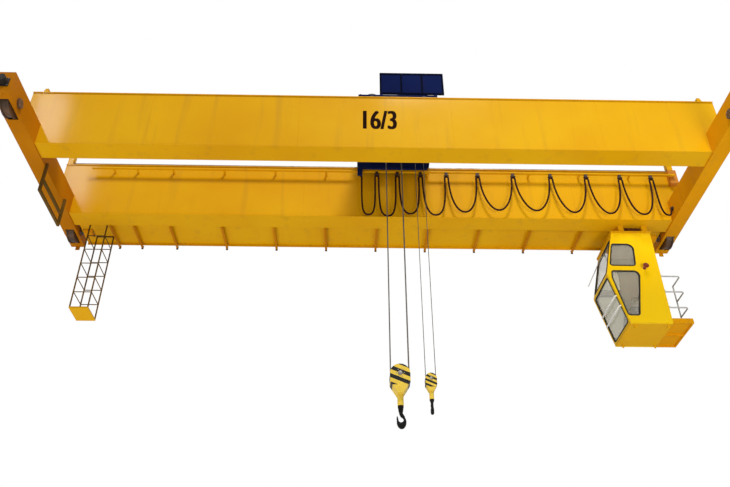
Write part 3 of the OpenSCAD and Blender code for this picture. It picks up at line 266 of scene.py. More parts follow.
# Painted shade: a deeper orange than the girders' yellow, standing in for the shade on the right end
# carriage, the drives and the cab platform.
carriage_painted_shade = painted("carriage_painted_shade", (0.66, 0.27, 0.003), (0.74, 0.33, 0.004), GRIME, RUST, coat=0.0)
# Painted shade: this deeper orange darkens the left end carriage and the walkway bracket flanges to stand in
# for the shade they lie in.
shaded_paint = painted("painted_shade_paint", (0.44, 0.145, 0.003), (0.56, 0.21, 0.004), GRIME, RUST, coat=0.0)
bar_brown = painted("cage_paint", (0.08, 0.045, 0.012), (0.20, 0.11, 0.018), (0.05, 0.03, 0.015), RUST)
mark_black = painted("mark_paint", (0.010, 0.004, 0.003), (0.020, 0.008, 0.006), (0.05, 0.03, 0.02),
                     (0.08, 0.05, 0.03), shine=0.0, coat=0.0)
hook_black = painted("hook_paint", (0.006, 0.006, 0.006), (0.016, 0.015, 0.015), (0.03, 0.025, 0.02),
                     (0.05, 0.045, 0.04))
bar_white = painted("bar_paint", (0.86, 0.86, 0.84), (0.92, 0.92, 0.90), (0.5, 0.46, 0.4), RUST, shine=0.3,
                    grime_share=0.1)
# Painted shade: dark red-brown for the plate between the cab hangers, standing in for the shade there.
painted_shade_brown = painted("painted_shade_screen_paint", (0.08, 0.025, 0.010), (0.13, 0.045, 0.016), (0.04, 0.02, 0.012), RUST)
rail_steel = bare_metal("rail_steel", (0.16, 0.12, 0.09), (0.26, 0.21, 0.17), RUST, 0.6)
wheel_iron = bare_metal("wheel_iron", (0.05, 0.03, 0.02), (0.12, 0.07, 0.04), RUST, 0.6, metallic=0.4)
bare_metal("dark_iron", (0.012, 0.012, 0.013), (0.03, 0.03, 0.032), (0.05, 0.025, 0.012), 0.35,
           metallic=0.5, rough=0.4)
bright_iron = bare_metal("bolt_metal", (0.20, 0.19, 0.18), (0.34, 0.33, 0.31), RUST, 0.4)
rope_wire = bare_metal("rope_wire", (0.09, 0.085, 0.08), (0.20, 0.19, 0.18), (0.10, 0.06, 0.035), 0.4)
carrier_metal = bare_metal("carrier_metal", (0.03, 0.016, 0.012), (0.06, 0.035, 0.025), RUST, 0.3,
                           metallic=0.2, rough=0.6)
black_rubber = rubber("black_rubber", (0.012, 0.010, 0.010), (0.045, 0.035, 0.03))
rubber("seat_vinyl", (0.02, 0.02, 0.022), (0.06, 0.055, 0.05))
cable_rubber = rubber("cable_rubber", (0.022, 0.006, 0.005), (0.055, 0.020, 0.015), 0.05)
clear_glass("window_glass", (0.80, 0.78, 0.67))
main_stripes = striped("main_stripes", PALE_YELLOW, BLACK, 0.155, 0.42, -4.19)
aux_stripes = striped("aux_stripes", PALE_YELLOW, BLACK, 0.085, 0.45, -4.20)

OWN_MATERIAL = (
    (main_stripes, ["main_block"]), (aux_stripes, ["aux_block"]), (shaded_paint, ["carriage_left"]),
    (cab_lit_yellow, ["cab_near_wall", "cab_far_wall", "cab_back_wall", "cab_front_upper", "cab_front_lower"]),
    (carriage_painted_shade, ["carriage_right", "drive_left", "drive_right", "cab_platform"]),
    (wheel_iron, ["wheels_left", "wheels_right"]),
    (bar_brown, ["collector_frame", "cage_near_side", "cage_far_side", "cage_left_side", "cage_right_side"]))
NODE_MATERIAL = {name: material for material, names in OWN_MATERIAL for name in names}


def dress_nodes():
    """Gives every CAD node the material of its slot, or its own where it has one."""
    for subpart in frame["record"]["subparts"]:
        name = subpart["node"]
        target = nodes[name].data
        target.materials.clear()
        target.materials.append(NODE_MATERIAL.get(name, MATERIALS[subpart["material_slot"]]))


# Shapes

def add_object(name, data):
    made = bpy.data.objects.new(name, data)
    bpy.context.scene.collection.objects.link(made)
    return made


def circle(middle, side, other, radius, count):
    """Points on a circle, given two unit vectors across its axis."""
    turns = [2 * pi * i / count for i in range(count)]
    return [Vector(middle) + radius * (side * cos(a) + other * sin(a)) for a in turns]


class Shape:
    """Gathers the faces of one piece."""

    def __init__(self):
        self.bm = bmesh.new()

    def rings(self, rings, loop=False):
        """Skins a row of rings of points, with closed ends or as a closed loop."""
        made = [[self.bm.verts.new(p) for p in ring] for ring in rings]
        for one, two in zip(made, made[1:] + (made[:1] if loop else [])):
            count = len(one)
            for i in range(count):
                self.bm.faces.new((one[i], one[(i + 1) % count], two[(i + 1) % count], two[i]))
        if not loop:
            self.bm.faces.new(reversed(made[0]))
            self.bm.faces.new(made[-1])

    def box(self, low, high, bevel=0.004, turn=None):
        """A block between two corners with broken edges."""
        low, high = Vector(low), Vector(high)
        made = bmesh.ops.create_cube(self.bm, size=1.0)["verts"]
        size = high - low
        place = Matrix.Translation((low + high) / 2) @ Matrix.Diagonal((*size, 1))
        if turn is not None:
            place = turn @ place
        bmesh.ops.transform(self.bm, matrix=place, verts=made)
        if bevel:
            edges = list({e for v in made for e in v.link_edges})
            bmesh.ops.bevel(self.bm, geom=edges, offset=min(bevel, min(size) / 3), segments=2, affect="EDGES")

    def lathe(self, profile, at, axis, steps=32):
        """Turns a profile of (radius, place along the axis) about an axis."""
        axis = Vector(axis).normalized()
        side = axis.orthogonal().normalized()
        other = axis.cross(side)
        self.rings([circle(Vector(at) + axis * along, side, other, radius, steps)
                    for radius, along in profile])

    def tube(self, points, radius, sides=10, loop=False):
        """A round bar along a path."""
        points = [Vector(p) for p in points]
        around = [points[-1], *points, points[0]] if loop else [points[0], *points, points[-1]]
        ways = [(after - before).normalized() for before, after in zip(around, around[2:])]
        side = ways[0].orthogonal().normalized()
        rings = []
        for point, way in zip(points, ways):
            side = (side - way * side.dot(way)).normalized()
            rings.append(circle(point, side, way.cross(side), radius, sides))
        self.rings(rings, loop=loop)

    def bolt(self, at, axis, size):
        """A hexagon head on a washer."""
        self.lathe([(size * 1.05, 0), (size * 1.05, size * 0.18)], at, axis, 16)
        self.lathe([(size * 0.92, size * 0.18), (size * 0.92, size * 0.75), (size * 0.75, size * 0.85)],
                   at, axis, 6)

    def bolt_circle(self, at, across, out, radius, size, count=6):
        """Bolts on an upright circle that looks out along an axis."""
        for place in circle(at, across, Z_AXIS, radius, count):
            self.bolt(place, out, size)

    def piece(self, name, material, slot, body="bridge", smooth=38.0):
        """Makes the object, which rides on a body or, with None, stands free."""
        bmesh.ops.remove_doubles(self.bm, verts=self.bm.verts, dist=1e-6)
        bmesh.ops.recalc_face_normals(self.bm, faces=self.bm.faces)
        mesh = bpy.data.meshes.new(name)
        self.bm.to_mesh(mesh)
        self.bm.free()
        mesh.polygons.foreach_set("use_smooth", [True] * len(mesh.polygons))
        mesh.set_sharp_from_angle(angle=radians(smooth))
        mesh.materials.append(material)
        made = add_object(name, mesh)
        if body:
            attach(made, body)
        return made


# Festoon cable: the same hanging points as the CAD route
PEAK_X = [-0.28, 0.09, 0.54, 1.05, 1.62, 2.31, 3.09, 3.92, 4.71, 5.46, 6.15]
LOW_Z = [0.08, 0.05, 0.115, 0.09, 0.18, 0.24, 0.24, 0.205, 0.19, 0.175]
TAIL_LOW = Vector((6.34, 0.16))
CABLE_END = Vector((6.424, 0.34))
PEAK_Z = 1.14
CABLE_Y = 0.74
CABLE_D = 0.04
SADDLE_R = 0.04
SADDLE_STEPS = 8
FLANK_STEPS = 26
# A loop up to this wide hangs as a full U, a wider one as a slack curve
NARROW_LOOP = 0.4
FULL_MAX = 0.75
FULL_MIN = 0.45
FULL_FALL = 0.75
LOW_FULLER = 0.05


def cubic(pulls, steps):
    """Points of a cubic curve with four control points, in the plane of the loops."""
    points = []
    for i in range(steps + 1):
        t = i / steps
        u = 1 - t
        weights = (u ** 3, 3 * u * u * t, 3 * u * t * t, t ** 3)
        points.append(tuple(sum((w * p for w, p in zip(weights, pulls)), Vector((0, 0)))))
    return points


def half_loop(x_top, x_low, z_low):
    """Points over a saddle by a quarter turn, then down a cubic curve to the low point."""
    side = 1 if x_low > x_top else -1
    reach = abs(x_low - x_top)
    full = max(FULL_MIN, min(FULL_MAX, FULL_MAX - (2 * reach - NARROW_LOOP) * FULL_FALL))
    start = Vector((x_top + side * SADDLE_R, PEAK_Z - SADDLE_R))
    low = Vector((x_low, z_low))
    pulls = (start, start - Vector((0, full * (start.y - z_low))),
             low - Vector((side * (full + LOW_FULLER) * reach, 0)), low)
    turns = [pi / 2 * i / SADDLE_STEPS for i in range(SADDLE_STEPS)]
    saddle = [(x_top + side * SADDLE_R * sin(a), PEAK_Z - SADDLE_R + SADDLE_R * cos(a)) for a in turns]
    return saddle + cubic(pulls, FLANK_STEPS)


def festoon_loop(i):
    """Points of one loop; the last one runs into the right end carriage."""
    if i < len(LOW_Z):
        middle = (PEAK_X[i] + PEAK_X[i + 1]) / 2
        down = half_loop(PEAK_X[i], middle, LOW_Z[i])
        up = half_loop(PEAK_X[i + 1], middle, LOW_Z[i])[::-1]
    else:
        down = half_loop(PEAK_X[i], *TAIL_LOW)
        rise = CABLE_END - TAIL_LOW
        up = cubic((TAIL_LOW, TAIL_LOW + Vector((0.6 * rise.x, 0)),
                    CABLE_END - Vector((0.2 * rise.x, 0.3 * rise.y)), CABLE_END), FLANK_STEPS)
    return [(x, CABLE_Y, z) for x, z in down + up[1:]]


def festoon():
    """Cable loops between the hanging points, each a piece of its own on no body."""
    hung_x = PEAK_X + [CABLE_END.x]
    for i, (x_near, x_far) in enumerate(zip(hung_x, hung_x[1:])):
        path = festoon_loop(i)
        shape = Shape()
        shape.tube(path, CABLE_D / 2, 10)
        loop = shape.piece(f"festoon_loop_{i}", cable_rubber, "black_rubber", None)
        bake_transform(loop)
        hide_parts("festoon_cable")


CARRIER_L = 0.11
CARRIER_W = 0.044
CARRIER_CHEEK = 0.021
ROLLER_X = 0.022
ROLLER = [(0.006, -0.02), (0.016, -0.018), (0.016, 0.018), (0.006, 0.02)]


def carriers():
    """Roller carriers under the track, one at each hanging point, each on no body."""
    low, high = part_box("festoon_carriers")
    for i, x in enumerate(PEAK_X[1:], 1):
        shape = Shape()
        shape.box((x - CARRIER_L / 2, CABLE_Y - CARRIER_W / 2, low[2]),
                  (x + CARRIER_L / 2, CABLE_Y + CARRIER_W / 2, low[2] + 0.022), 0.003)
        for side in (-1, 1):
            cheek = CABLE_Y + side * CARRIER_CHEEK
            shape.box((x - 0.03, cheek - 0.003, low[2] + 0.015), (x + 0.03, cheek + 0.003, high[2]), 0.001)
            shape.lathe(ROLLER, (x + side * ROLLER_X, CABLE_Y, high[2] - 0.02), Y_AXIS, 16)
        carrier = shape.piece(f"festoon_carrier_{i}", carrier_metal, "carrier_metal", None)
        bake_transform(carrier)
        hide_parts("festoon_carriers")


# Ropes
STRANDS = 6
LAY_TURN = 0.9
FALL_STEPS = 160


def strand_ring(x, y, z, radius, sides=18):
    """Section of a rope whose strands turn with the height."""
    ring = []
    for k in range(sides):
        a = 2 * pi * k / sides
        r = radius * (0.92 + 0.08 * cos(STRANDS * a + LAY_TURN * z / radius))
        ring.append(Vector((x + r * cos(a), y + r * sin(a), z)))
    return ring


def rope_falls(hoist, falls, places, high, diameter):
    """Rope falls on the trolley, from the block up to the given height."""
    node, joint = f"{hoist}_ropes", f"{hoist}_hoist"
    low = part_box(node)[0][2]
    shape = Shape()
    for x, y in places:
        shape.rings([strand_ring(x, y, low + (high - low) * i / FALL_STEPS, diameter / 2)
                     for i in range(FALL_STEPS + 1)])
    made = shape.piece(f"{hoist}_rope_{falls}", rope_wire, "rope_wire", "trolley", 60)
    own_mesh(made)
    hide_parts(node)


MAIN_X = 0.42
MAIN_PITCH_R = 0.16
MAIN_ROPE_D = 0.018
MAIN_FALL_Y = 0.06
AUX_X = 0.955
AUX_PITCH_R = 0.088
AUX_ROPE_D = 0.014
EQUALIZER_LIFT = 0.12
MAIN_DRUM_R = 0.2
AUX_DRUM_R = 0.15
MAIN_DRUM_X = MAIN_X - MAIN_PITCH_R - MAIN_DRUM_R
AUX_DRUM_X = AUX_X + AUX_PITCH_R - AUX_DRUM_R
WRAP_STEPS = 28
COIL_GAP = 1.18
COIL_STEPS = 26
COIL_END = 0.46


def half_circle(middle, side, other, radius):
    """Points on half a circle, from one side round to the other."""
    return circle(middle, side, other, radius, 2 * WRAP_STEPS)[:WRAP_STEPS + 1]


def coil(shape, x, z, radius, rope_d, y_start, y_end):
    """Rope laid in one layer on a drum, leaving it straight down."""
    turns = int(abs(y_end - y_start) / (rope_d * COIL_GAP))
    count = turns * COIL_STEPS
    points = []
    for i in range(count + 1):
        a = 2 * pi * i / COIL_STEPS
        y = y_start + (y_end - y_start) * i / count
        points.append((x + radius * cos(a), y, z + radius * sin(a)))
    shape.tube(points, rope_d / 2, 7)


def ropes():
    """Falls between trolley and blocks, wraps round the sheaves, and rope on the drums."""
    main_low, main_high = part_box("main_ropes")
    aux_low, aux_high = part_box("aux_ropes")
    anchor_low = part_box("rope_anchors")[0][2]
    equalizer_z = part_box("trolley_deck")[1][2] + EQUALIZER_LIFT
    both = (-MAIN_FALL_Y, MAIN_FALL_Y)
    rope_falls("main", "drum_falls", [(MAIN_X - MAIN_PITCH_R, y) for y in both], main_high[2], MAIN_ROPE_D)
    rope_falls("main", "equalizer_falls", [(MAIN_X + MAIN_PITCH_R, y) for y in both], equalizer_z,
               MAIN_ROPE_D)
    rope_falls("aux", "drum_fall", [(AUX_X + AUX_PITCH_R, 0)], aux_high[2], AUX_ROPE_D)
    rope_falls("aux", "dead_fall", [(AUX_X - AUX_PITCH_R, 0)], anchor_low, AUX_ROPE_D)
    wraps = Shape()
    for y in both:
        wraps.tube(half_circle((MAIN_X, y, main_low[2]), -X_AXIS, -Z_AXIS, MAIN_PITCH_R), MAIN_ROPE_D / 2)
    wraps.piece("main_rope_wraps", rope_wire, "rope_wire", "main_block_body")
    wrap = Shape()
    wrap.tube(half_circle((AUX_X, 0, aux_low[2]), -X_AXIS, -Z_AXIS, AUX_PITCH_R), AUX_ROPE_D / 2)
    wrap.piece("aux_rope_wrap", rope_wire, "rope_wire", "aux_block_body")
    upper = Shape()
    upper.tube(half_circle((MAIN_X + MAIN_PITCH_R, 0, equalizer_z), Y_AXIS, Z_AXIS, MAIN_FALL_Y),
               MAIN_ROPE_D / 2)
    for side in (-1, 1):
        coil(upper, MAIN_DRUM_X, main_high[2], MAIN_DRUM_R, MAIN_ROPE_D, side * MAIN_FALL_Y, side * COIL_END)
    coil(upper, AUX_DRUM_X, aux_high[2], AUX_DRUM_R, AUX_ROPE_D, 0.0, COIL_END)
    upper.piece("drum_rope_coils", rope_wire, "rope_wire", "trolley")


# Hooks: forged to one flowing shape, measured about the centre of the throat
THROAT_R = 0.042
BOWL = (0.082, 0.118)
BOWL_AT = (0.008, -0.040)
BOWL_START = 35
BOWL_SWEEP = 215
BOWL_STEP = 12
BOWL_EDGE = 0.026
BOWL_SWELL = 0.014
HOOK_DROP = 0.134
SHANK_TOP = [((-0.032, 0.134), (0.032, 0.134), 0.032), ((-0.030, 0.108), (0.036, 0.108), 0.033),
             ((-0.018, 0.080), (0.050, 0.086), 0.034), ((-0.006, 0.056), (0.066, 0.060), 0.036)]
TIP_RINGS = [((-0.045, 0.018), (-0.076, 0.016), 0.026), ((-0.050, 0.042), (-0.074, 0.044), 0.019),
             ((-0.056, 0.060), (-0.070, 0.062), 0.011), ((-0.0615, 0.0665), (-0.0645, 0.0672), 0.003)]


def bowl_reach(angle):
    """Distance from the throat centre to the outside of the bowl."""
    c, s = cos(angle), sin(angle)
    a = (c / BOWL[0]) ** 2 + (s / BOWL[1]) ** 2
    b = -2 * (c * BOWL_AT[0] / BOWL[0] ** 2 + s * BOWL_AT[1] / BOWL[1] ** 2)
    k = (BOWL_AT[0] / BOWL[0]) ** 2 + (BOWL_AT[1] / BOWL[1]) ** 2 - 1
    return (-b + sqrt(b * b - 4 * a * k)) / (2 * a)


def hook_sections():
    """Inner edge, outer edge and half thickness along the hook, from shank to tip."""
    bowl = []
    for degrees in range(BOWL_START, BOWL_START - BOWL_SWEEP - 1, -BOWL_STEP):
        angle = radians(degrees)
        way = Vector((cos(angle), sin(angle)))
        thick = BOWL_EDGE + BOWL_SWELL * sin(pi * (BOWL_START - degrees) / BOWL_SWEEP)
        bowl.append((tuple(way * THROAT_R), tuple(way * bowl_reach(angle)), thick))
    return SHANK_TOP + bowl + TIP_RINGS


SECTION_SIDES = 20
SECTION_POWER = 0.8
COLLAR_R = 0.050
COLLAR_POWER = 0.7
NECK_R = 0.034
NUT_DROP = 0.026
NUT_H = 0.040
BREAK = 0.004


def hook(node, x, size, turn, collar_h, shank_r):
    """A hook with its collar, shank and top nut, hung on the axis of its block."""
    low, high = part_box(node)
    throat_z = low[2] + (BOWL[1] - BOWL_AT[1]) * size
    spin = Matrix.Rotation(radians(turn), 3, "Z")
    shape = Shape()
    rings = []
    for inner, outer, half in hook_sections():
        middle = (Vector(inner) + Vector(outer)) / 2
        reach = (Vector(outer) - Vector(inner)) / 2
        ring = []
        for k in range(SECTION_SIDES):
            a = 2 * pi * k / SECTION_SIDES
            across, thick = (copysign(abs(w) ** SECTION_POWER, w) for w in (cos(a), sin(a)))
            flat = middle + reach * across
            point = spin @ (Vector((flat.x, half * thick, flat.y)) * size)
            ring.append(point + Vector((x, 0, throat_z)))
        rings.append(ring)
    shape.rings(rings)
    collar = throat_z + HOOK_DROP * size
    at = (x, 0, collar)
    wide, narrow = COLLAR_R * size ** COLLAR_POWER, NECK_R * size
    shape.lathe([(narrow, 0.0), (narrow * 1.12, collar_h * 0.08), (wide * 0.92, collar_h * 0.62),
                 (wide, collar_h * 0.70), (wide, collar_h * 0.98)], at, Z_AXIS)
    top = high[2] - collar
    shape.lathe([(shank_r, collar_h * 0.9), (shank_r, top - BREAK), (shank_r * 0.86, top)], at, Z_AXIS)
    nut = top - NUT_DROP
    shape.lathe([(shank_r * 1.25, nut - NUT_H), (shank_r * 1.32, nut - NUT_H + BREAK),
                 (shank_r * 1.32, nut - BREAK), (shank_r * 1.2, nut)], at, Z_AXIS, 6)
    made = shape.piece(f"{node}_forging", hook_black, "dark_iron", f"{node}_body", 50)
    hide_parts(node)


MAIN_SHANK_R = 0.0318
AUX_SHANK_R = 0.688 * MAIN_SHANK_R
MAIN_PIN_R = 0.040
AUX_PIN_R = 0.025


def hooks():
    """The main hook, and the smaller auxiliary hook turned across it."""
    hook("main_hook", MAIN_X, size=1.0, turn=0, collar_h=0.115, shank_r=MAIN_SHANK_R)
    hook("aux_hook", AUX_X, size=0.72, turn=90, collar_h=0.060, shank_r=AUX_SHANK_R)


def block_fittings(hoist, x, pin_r):
    """Pin heads in a ring of bolts on the cheeks of a block."""
    node = f"{hoist}_block"
    low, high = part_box(node)
    axis_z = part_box(f"{hoist}_ropes")[0][2]
    shape = Shape()
    for face, out in ((low[1], -Y_AXIS), (high[1], Y_AXIS)):
        shape.lathe([(pin_r, -0.004), (pin_r, 0.010), (pin_r * 0.8, 0.016), (pin_r * 0.25, 0.016)],
                    (x, face, axis_z), out)
        shape.bolt_circle((x, face, axis_z), X_AXIS, out, pin_r * 1.7, pin_r * 0.24)
    shape.piece(f"{node}_fittings", bright_iron, "dark_iron", f"{node}_body")


# Fittings on the bridge
RAIL_FOOT = 0.045
CLIP_PITCH = 0.62
CLIP_END = 6.3
CLIP_L = 0.070
CLIP_BACK = 0.060
CLIP_BOLT = 0.032
CLIP_TOP = 0.022
# Start across the rail, bottom, top and bevel of a clip's tongue and heel
CLIP_PARTS = ((-0.018, 0.009, CLIP_TOP, 0.003), (0.003, 0.0005, 0.010, 0))


def rail_clips():
    """Clips with bolts that hold the foot of both trolley rails."""
    shape = Shape()
    for node in ("trolley_rail_near", "trolley_rail_far"):
        low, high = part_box(node)
        middle = (low[1] + high[1]) / 2
        side = 1 if middle > 0 else -1
        for i in range(int(2 * CLIP_END / CLIP_PITCH) + 1):
            x = -CLIP_END + i * CLIP_PITCH
            edge = middle + side * RAIL_FOOT
            for start, bottom, top, bevel in CLIP_PARTS:
                ys = sorted((edge + side * start, edge + side * CLIP_BACK))
                shape.box((x - CLIP_L / 2, ys[0], low[2] + bottom),
                          (x + CLIP_L / 2, ys[1], low[2] + top), bevel)
            shape.bolt((x, edge + side * CLIP_BOLT, low[2] + CLIP_TOP), Z_AXIS, 0.012)
    shape.piece("rail_clips", rail_steel, "rail_steel")


WEB_LIP = 0.020
FLANGE_T = 0.016
SEAM_R = 0.006
SEAM_SHORT = 0.36
BUTT_R = 0.003
BUTT_MIDDLE_Z = 0.8
BUTT_X = (-4.4, -1.5, 1.5, 4.4)


def girder_seams():
    """Fillet welds along the flanges and butt welds across the webs."""
    shape = Shape()
    for node in ("girder_near", "girder_far"):
        low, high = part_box(node)
        end = high[0] - SEAM_SHORT
        for face in (low[1] + WEB_LIP, high[1] - WEB_LIP):
            for z in (low[2] + FLANGE_T, high[2] - FLANGE_T):
                shape.tube([(x, face, z) for x in (-end, 0, end)], SEAM_R, 6)
            for x in BUTT_X:
                zs = (low[2] + FLANGE_T, BUTT_MIDDLE_Z, high[2] - FLANGE_T)
                shape.tube([(x, face, z) for z in zs], BUTT_R, 6)
    shape.piece("girder_seams", yellow, "yellow_paint")


AXLE_BOLT_R = 0.072
BUFFER_R = 0.095
BUFFER_L = 0.120
BUFFER_BOLT = 0.078


def carriage_fittings():
    """Bolts on the axle caps and on the buffer plates."""
    shape = Shape()
    for node in ("wheels_left", "wheels_right"):
        low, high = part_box(node)
        wheel_r = (high[2] - low[2]) / 2
        for y in (low[1] + wheel_r, high[1] - wheel_r):
            for x, out in ((low[0], -X_AXIS), (high[0], X_AXIS)):
                shape.bolt_circle((x, y, (low[2] + high[2]) / 2), Y_AXIS, out, AXLE_BOLT_R, 0.011)
    low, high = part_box("buffers")
    middle = (low[2] + high[2]) / 2
    for x in (low[0] + BUFFER_R, high[0] - BUFFER_R):
        for y, out in ((low[1] + BUFFER_L, -Y_AXIS), (high[1] - BUFFER_L, Y_AXIS)):
            for dx, dz in ((-1, -1), (-1, 1), (1, -1), (1, 1)):
                shape.bolt((x + dx * BUFFER_BOLT, y, middle + dz * BUFFER_BOLT), out, 0.010)
    shape.piece("carriage_bolts", bright_iron, "dark_iron")


MOTOR_RIBS = 32
RIB_SPAN = (0.20, 0.86)
SHIELD_SPANS = ((0.14, 0.19), (0.87, 0.92))
COWL_SHARE = 0.13


def motor_dress(shape, tail, head, radius):
    """Cooling ribs, end shields and a fan cowl on a motor between two points."""
    tail, head = Vector(tail), Vector(head)
    way = (head - tail).normalized()
    long = (head - tail).length
    side = way.orthogonal().normalized()
    other = way.cross(side)
    turn = Matrix((side, other, way)).transposed().to_4x4()
    start, end = (long * share for share in RIB_SPAN)
    for k in range(MOTOR_RIBS):
        spin = Matrix.Translation(tail) @ turn @ Matrix.Rotation(2 * pi * k / MOTOR_RIBS, 4, "Z")
        shape.box((radius - 0.004, -0.0025, start), (radius + 0.014, 0.0025, end), 0, spin)
    for start, end in SHIELD_SPANS:
        shape.lathe([(radius * 0.98, long * start), (radius + 0.018, long * start + 0.004),
                     (radius + 0.018, long * end - 0.004), (radius * 0.98, long * end)], tail, way, 40)
    shape.lathe([(radius * 0.5, -0.012), (radius * 0.94, -0.008), (radius + 0.010, 0.010),
                 (radius + 0.010, long * COWL_SHARE)], tail, way, 40)


BRAKE_L = 0.11
MOTOR_L = 0.355
MOTOR_R = 0.105
BOX_L, BOX_W, BOX_H = 0.14, 0.11, 0.07
CASE_BOLTS = 5
CASE_BOLT_Y = 0.105
CASE_BOLT_DROP = 0.06
CASE_BOLT_PITCH = 0.08


def drives():
    """Motor ribs, terminal boxes and gear case bolts of the travel drives."""
    for name, way in (("drive_left", -1), ("drive_right", 1)):
        low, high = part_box(name)
        y = (low[1] + high[1]) / 2
        z = high[2] - MOTOR_R
        tail = (low[0] if way > 0 else high[0]) + way * BRAKE_L
        head = tail + way * MOTOR_L
        box_x = (tail + head) / 2
        shape = Shape()
        motor_dress(shape, (tail, y, z), (head, y, z), MOTOR_R + 0.005)
        shape.box((box_x - BOX_L / 2, y - BOX_W / 2, high[2]),
                  (box_x + BOX_L / 2, y + BOX_W / 2, high[2] + BOX_H), 0.008)
        shape.lathe([(0.014, 0), (0.014, 0.05)], (box_x, y - BOX_W / 2, high[2] + BOX_H / 2), -Y_AXIS, 12)
        for i in range(CASE_BOLTS):
            bolt_z = z - CASE_BOLT_DROP - CASE_BOLT_PITCH * i
            for side in (-1, 1):
                shape.bolt((head, y + side * CASE_BOLT_Y, bolt_z), -X_AXIS * way, 0.010)
        # The drive fittings take the deeper orange of painted shade.
        shape.piece(f"{name}_fittings", carriage_painted_shade, "yellow_paint")


CAGE_BAYS = 6
RUNG_R = 0.010


def cage_rungs():
    """Round rungs on the four sides of the inspection cage, between its corner posts."""
    low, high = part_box("cage_near_side")[0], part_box("cage_far_side")[1]
    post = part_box("cage_near_side")[1][1] - low[1]
    xs = (low[0] + post / 2, high[0] - post / 2)
    ys = (low[1] + post / 2, high[1] - post / 2)
    shape = Shape()
    for i in range(1, CAGE_BAYS):
        z = low[2] + (high[2] - low[2]) * i / CAGE_BAYS
        for y in ys:
            shape.tube([(x, y, z) for x in xs], RUNG_R)
        for x in xs:
            shape.tube([(x, y, z) for y in ys], RUNG_R)
    made = shape.piece("cage_rungs", bar_brown, "yellow_paint")
    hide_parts("cage_left_side", "cage_right_side")


BRACKET_GAPS = (0.060, 0.565)
BRACKET_START = 2.0
BRACKET_PITCH = 1.122
BRACKET_FINISH = 0.6
BRACKET_FOOT = 0.06
BRACKET_RISE = 0.04
BRACKET_TIP = 0.085
BRACKET_W = 0.048
PLATE_T = 0.010


def bracket_places():
    """Places of the walkway brackets along the bridge, as in the CAD model."""
    deck_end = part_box("walkway")[1][0]
    beside_cage = [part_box("cage_near_side")[1][0] + gap for gap in BRACKET_GAPS]
    count = int((2 * deck_end - BRACKET_START - BRACKET_FINISH) / BRACKET_PITCH) + 1
    return beside_cage + [BRACKET_START - deck_end + i * BRACKET_PITCH for i in range(count)]


def bracket_flanges():
    """Flange under each walkway bracket, with its end plate outside the edge of the walkway."""
    low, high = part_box("walkway")
    inner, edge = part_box("girder_far")[1][1], high[1]
    tip = edge + BRACKET_TIP
    seat = low[2] + BRACKET_RISE
    outline = [(inner, low[2]), (inner + BRACKET_FOOT, low[2]), (edge, seat), (tip, seat)]
    flanges, ends = Shape(), Shape()
    for x in bracket_places():
        xs = (x - BRACKET_W / 2, x + BRACKET_W / 2)
        flanges.rings([[(xs[0], y, z - PLATE_T), (xs[1], y, z - PLATE_T), (xs[1], y, z), (xs[0], y, z)]
                       for y, z in outline])
        flanges.box((x - PLATE_T / 2, edge, seat), (x + PLATE_T / 2, tip - PLATE_T, seat + BRACKET_RISE), 0)
        ends.box((xs[0], tip - PLATE_T, low[2] - PLATE_T), (xs[1], tip, seat + BRACKET_RISE), 0.002)
        ends.bolt((x, tip, low[2] + BRACKET_RISE / 2), Y_AXIS, 0.012)
    # The flanges take the deeper orange of painted shade, for the shade under the walkway.
    flanges.piece("bracket_flanges", shaded_paint, "yellow_paint")
    ends.piece("bracket_ends", bar_brown, "yellow_paint")


HOIST_MOTOR_LIFT = 0.13
HOIST_MOTOR_Y = (0.24, 0.625)
HOIST_MOTOR_R = 0.115
HOIST_BOX_W = 0.12
HOIST_BOX_Y = (0.38, 0.52)
HOIST_BOX_Z = (0.11, 0.185)
DRUM_BOLT_R = 0.150
DRUM_BOLTS = 12


def hoist_fittings():
    """Motor ribs and terminal boxes of the hoists, and the bolted caps at the drum ends."""
    low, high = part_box("hoist_drives")
    drum_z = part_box("main_ropes")[1][2]
    x = (MAIN_DRUM_X + AUX_DRUM_X) / 2
    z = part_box("trolley_deck")[1][2] + HOIST_MOTOR_LIFT
    shape = Shape()
    for side in (-1, 1):
        motor_dress(shape, *((x, side * y, z) for y in HOIST_MOTOR_Y), HOIST_MOTOR_R)
        ys = sorted(side * y for y in HOIST_BOX_Y)
        shape.box((x - HOIST_BOX_W / 2, ys[0], z + HOIST_BOX_Z[0]),
                  (x + HOIST_BOX_W / 2, ys[1], z + HOIST_BOX_Z[1]), 0.008)
    for y, out in ((low[1], -Y_AXIS), (high[1], Y_AXIS)):
        drum_x = MAIN_DRUM_X if y > 0 else AUX_DRUM_X
        shape.lathe([(0.075, -0.004), (0.075, 0.016), (0.055, 0.024), (0.01, 0.024)],
                    (drum_x, y, drum_z), out)
        shape.bolt_circle((drum_x, y, drum_z), X_AXIS, out, DRUM_BOLT_R, 0.009, DRUM_BOLTS)
    shape.piece("hoist_fittings", machine, "machine_paint", "trolley")


GUARD_BAR = 0.036
GUARD_H = 0.610
GUARD_FIELDS = 3
EDGING_T = 0.004
EDGING_SINK = 0.001


def guard_edging():
    """Dark edging on the frame bars of the trolley's guard screen."""
    low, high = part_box("trolley_guard")
    bottom = high[2] - GUARD_H
    ys = (low[1] - EDGING_T, low[1] + EDGING_SINK)
    step = (high[0] - low[0] - GUARD_BAR) / GUARD_FIELDS
    shape = Shape()
    for i in range(GUARD_FIELDS + 1):
        x = low[0] + i * step
        shape.box((x, ys[0], bottom), (x + GUARD_BAR, ys[1], high[2]), 0.001)
    for z in (bottom, high[2] - GUARD_BAR):
        shape.box((low[0], ys[0] - 0.001, z), (high[0], ys[1], z + GUARD_BAR), 0.001)
    shape.piece("guard_edging", navy_dark, "navy_paint", "trolley")


# Cab fittings
GASKET_R = 0.015
GASKET_SINK = 0.002
GASKET_PROUD = {"cab_glass_near": 0.018, "cab_glass_far": 0.018, "cab_glass_upper": 0.010,
                "cab_glass_lower": 0.010}


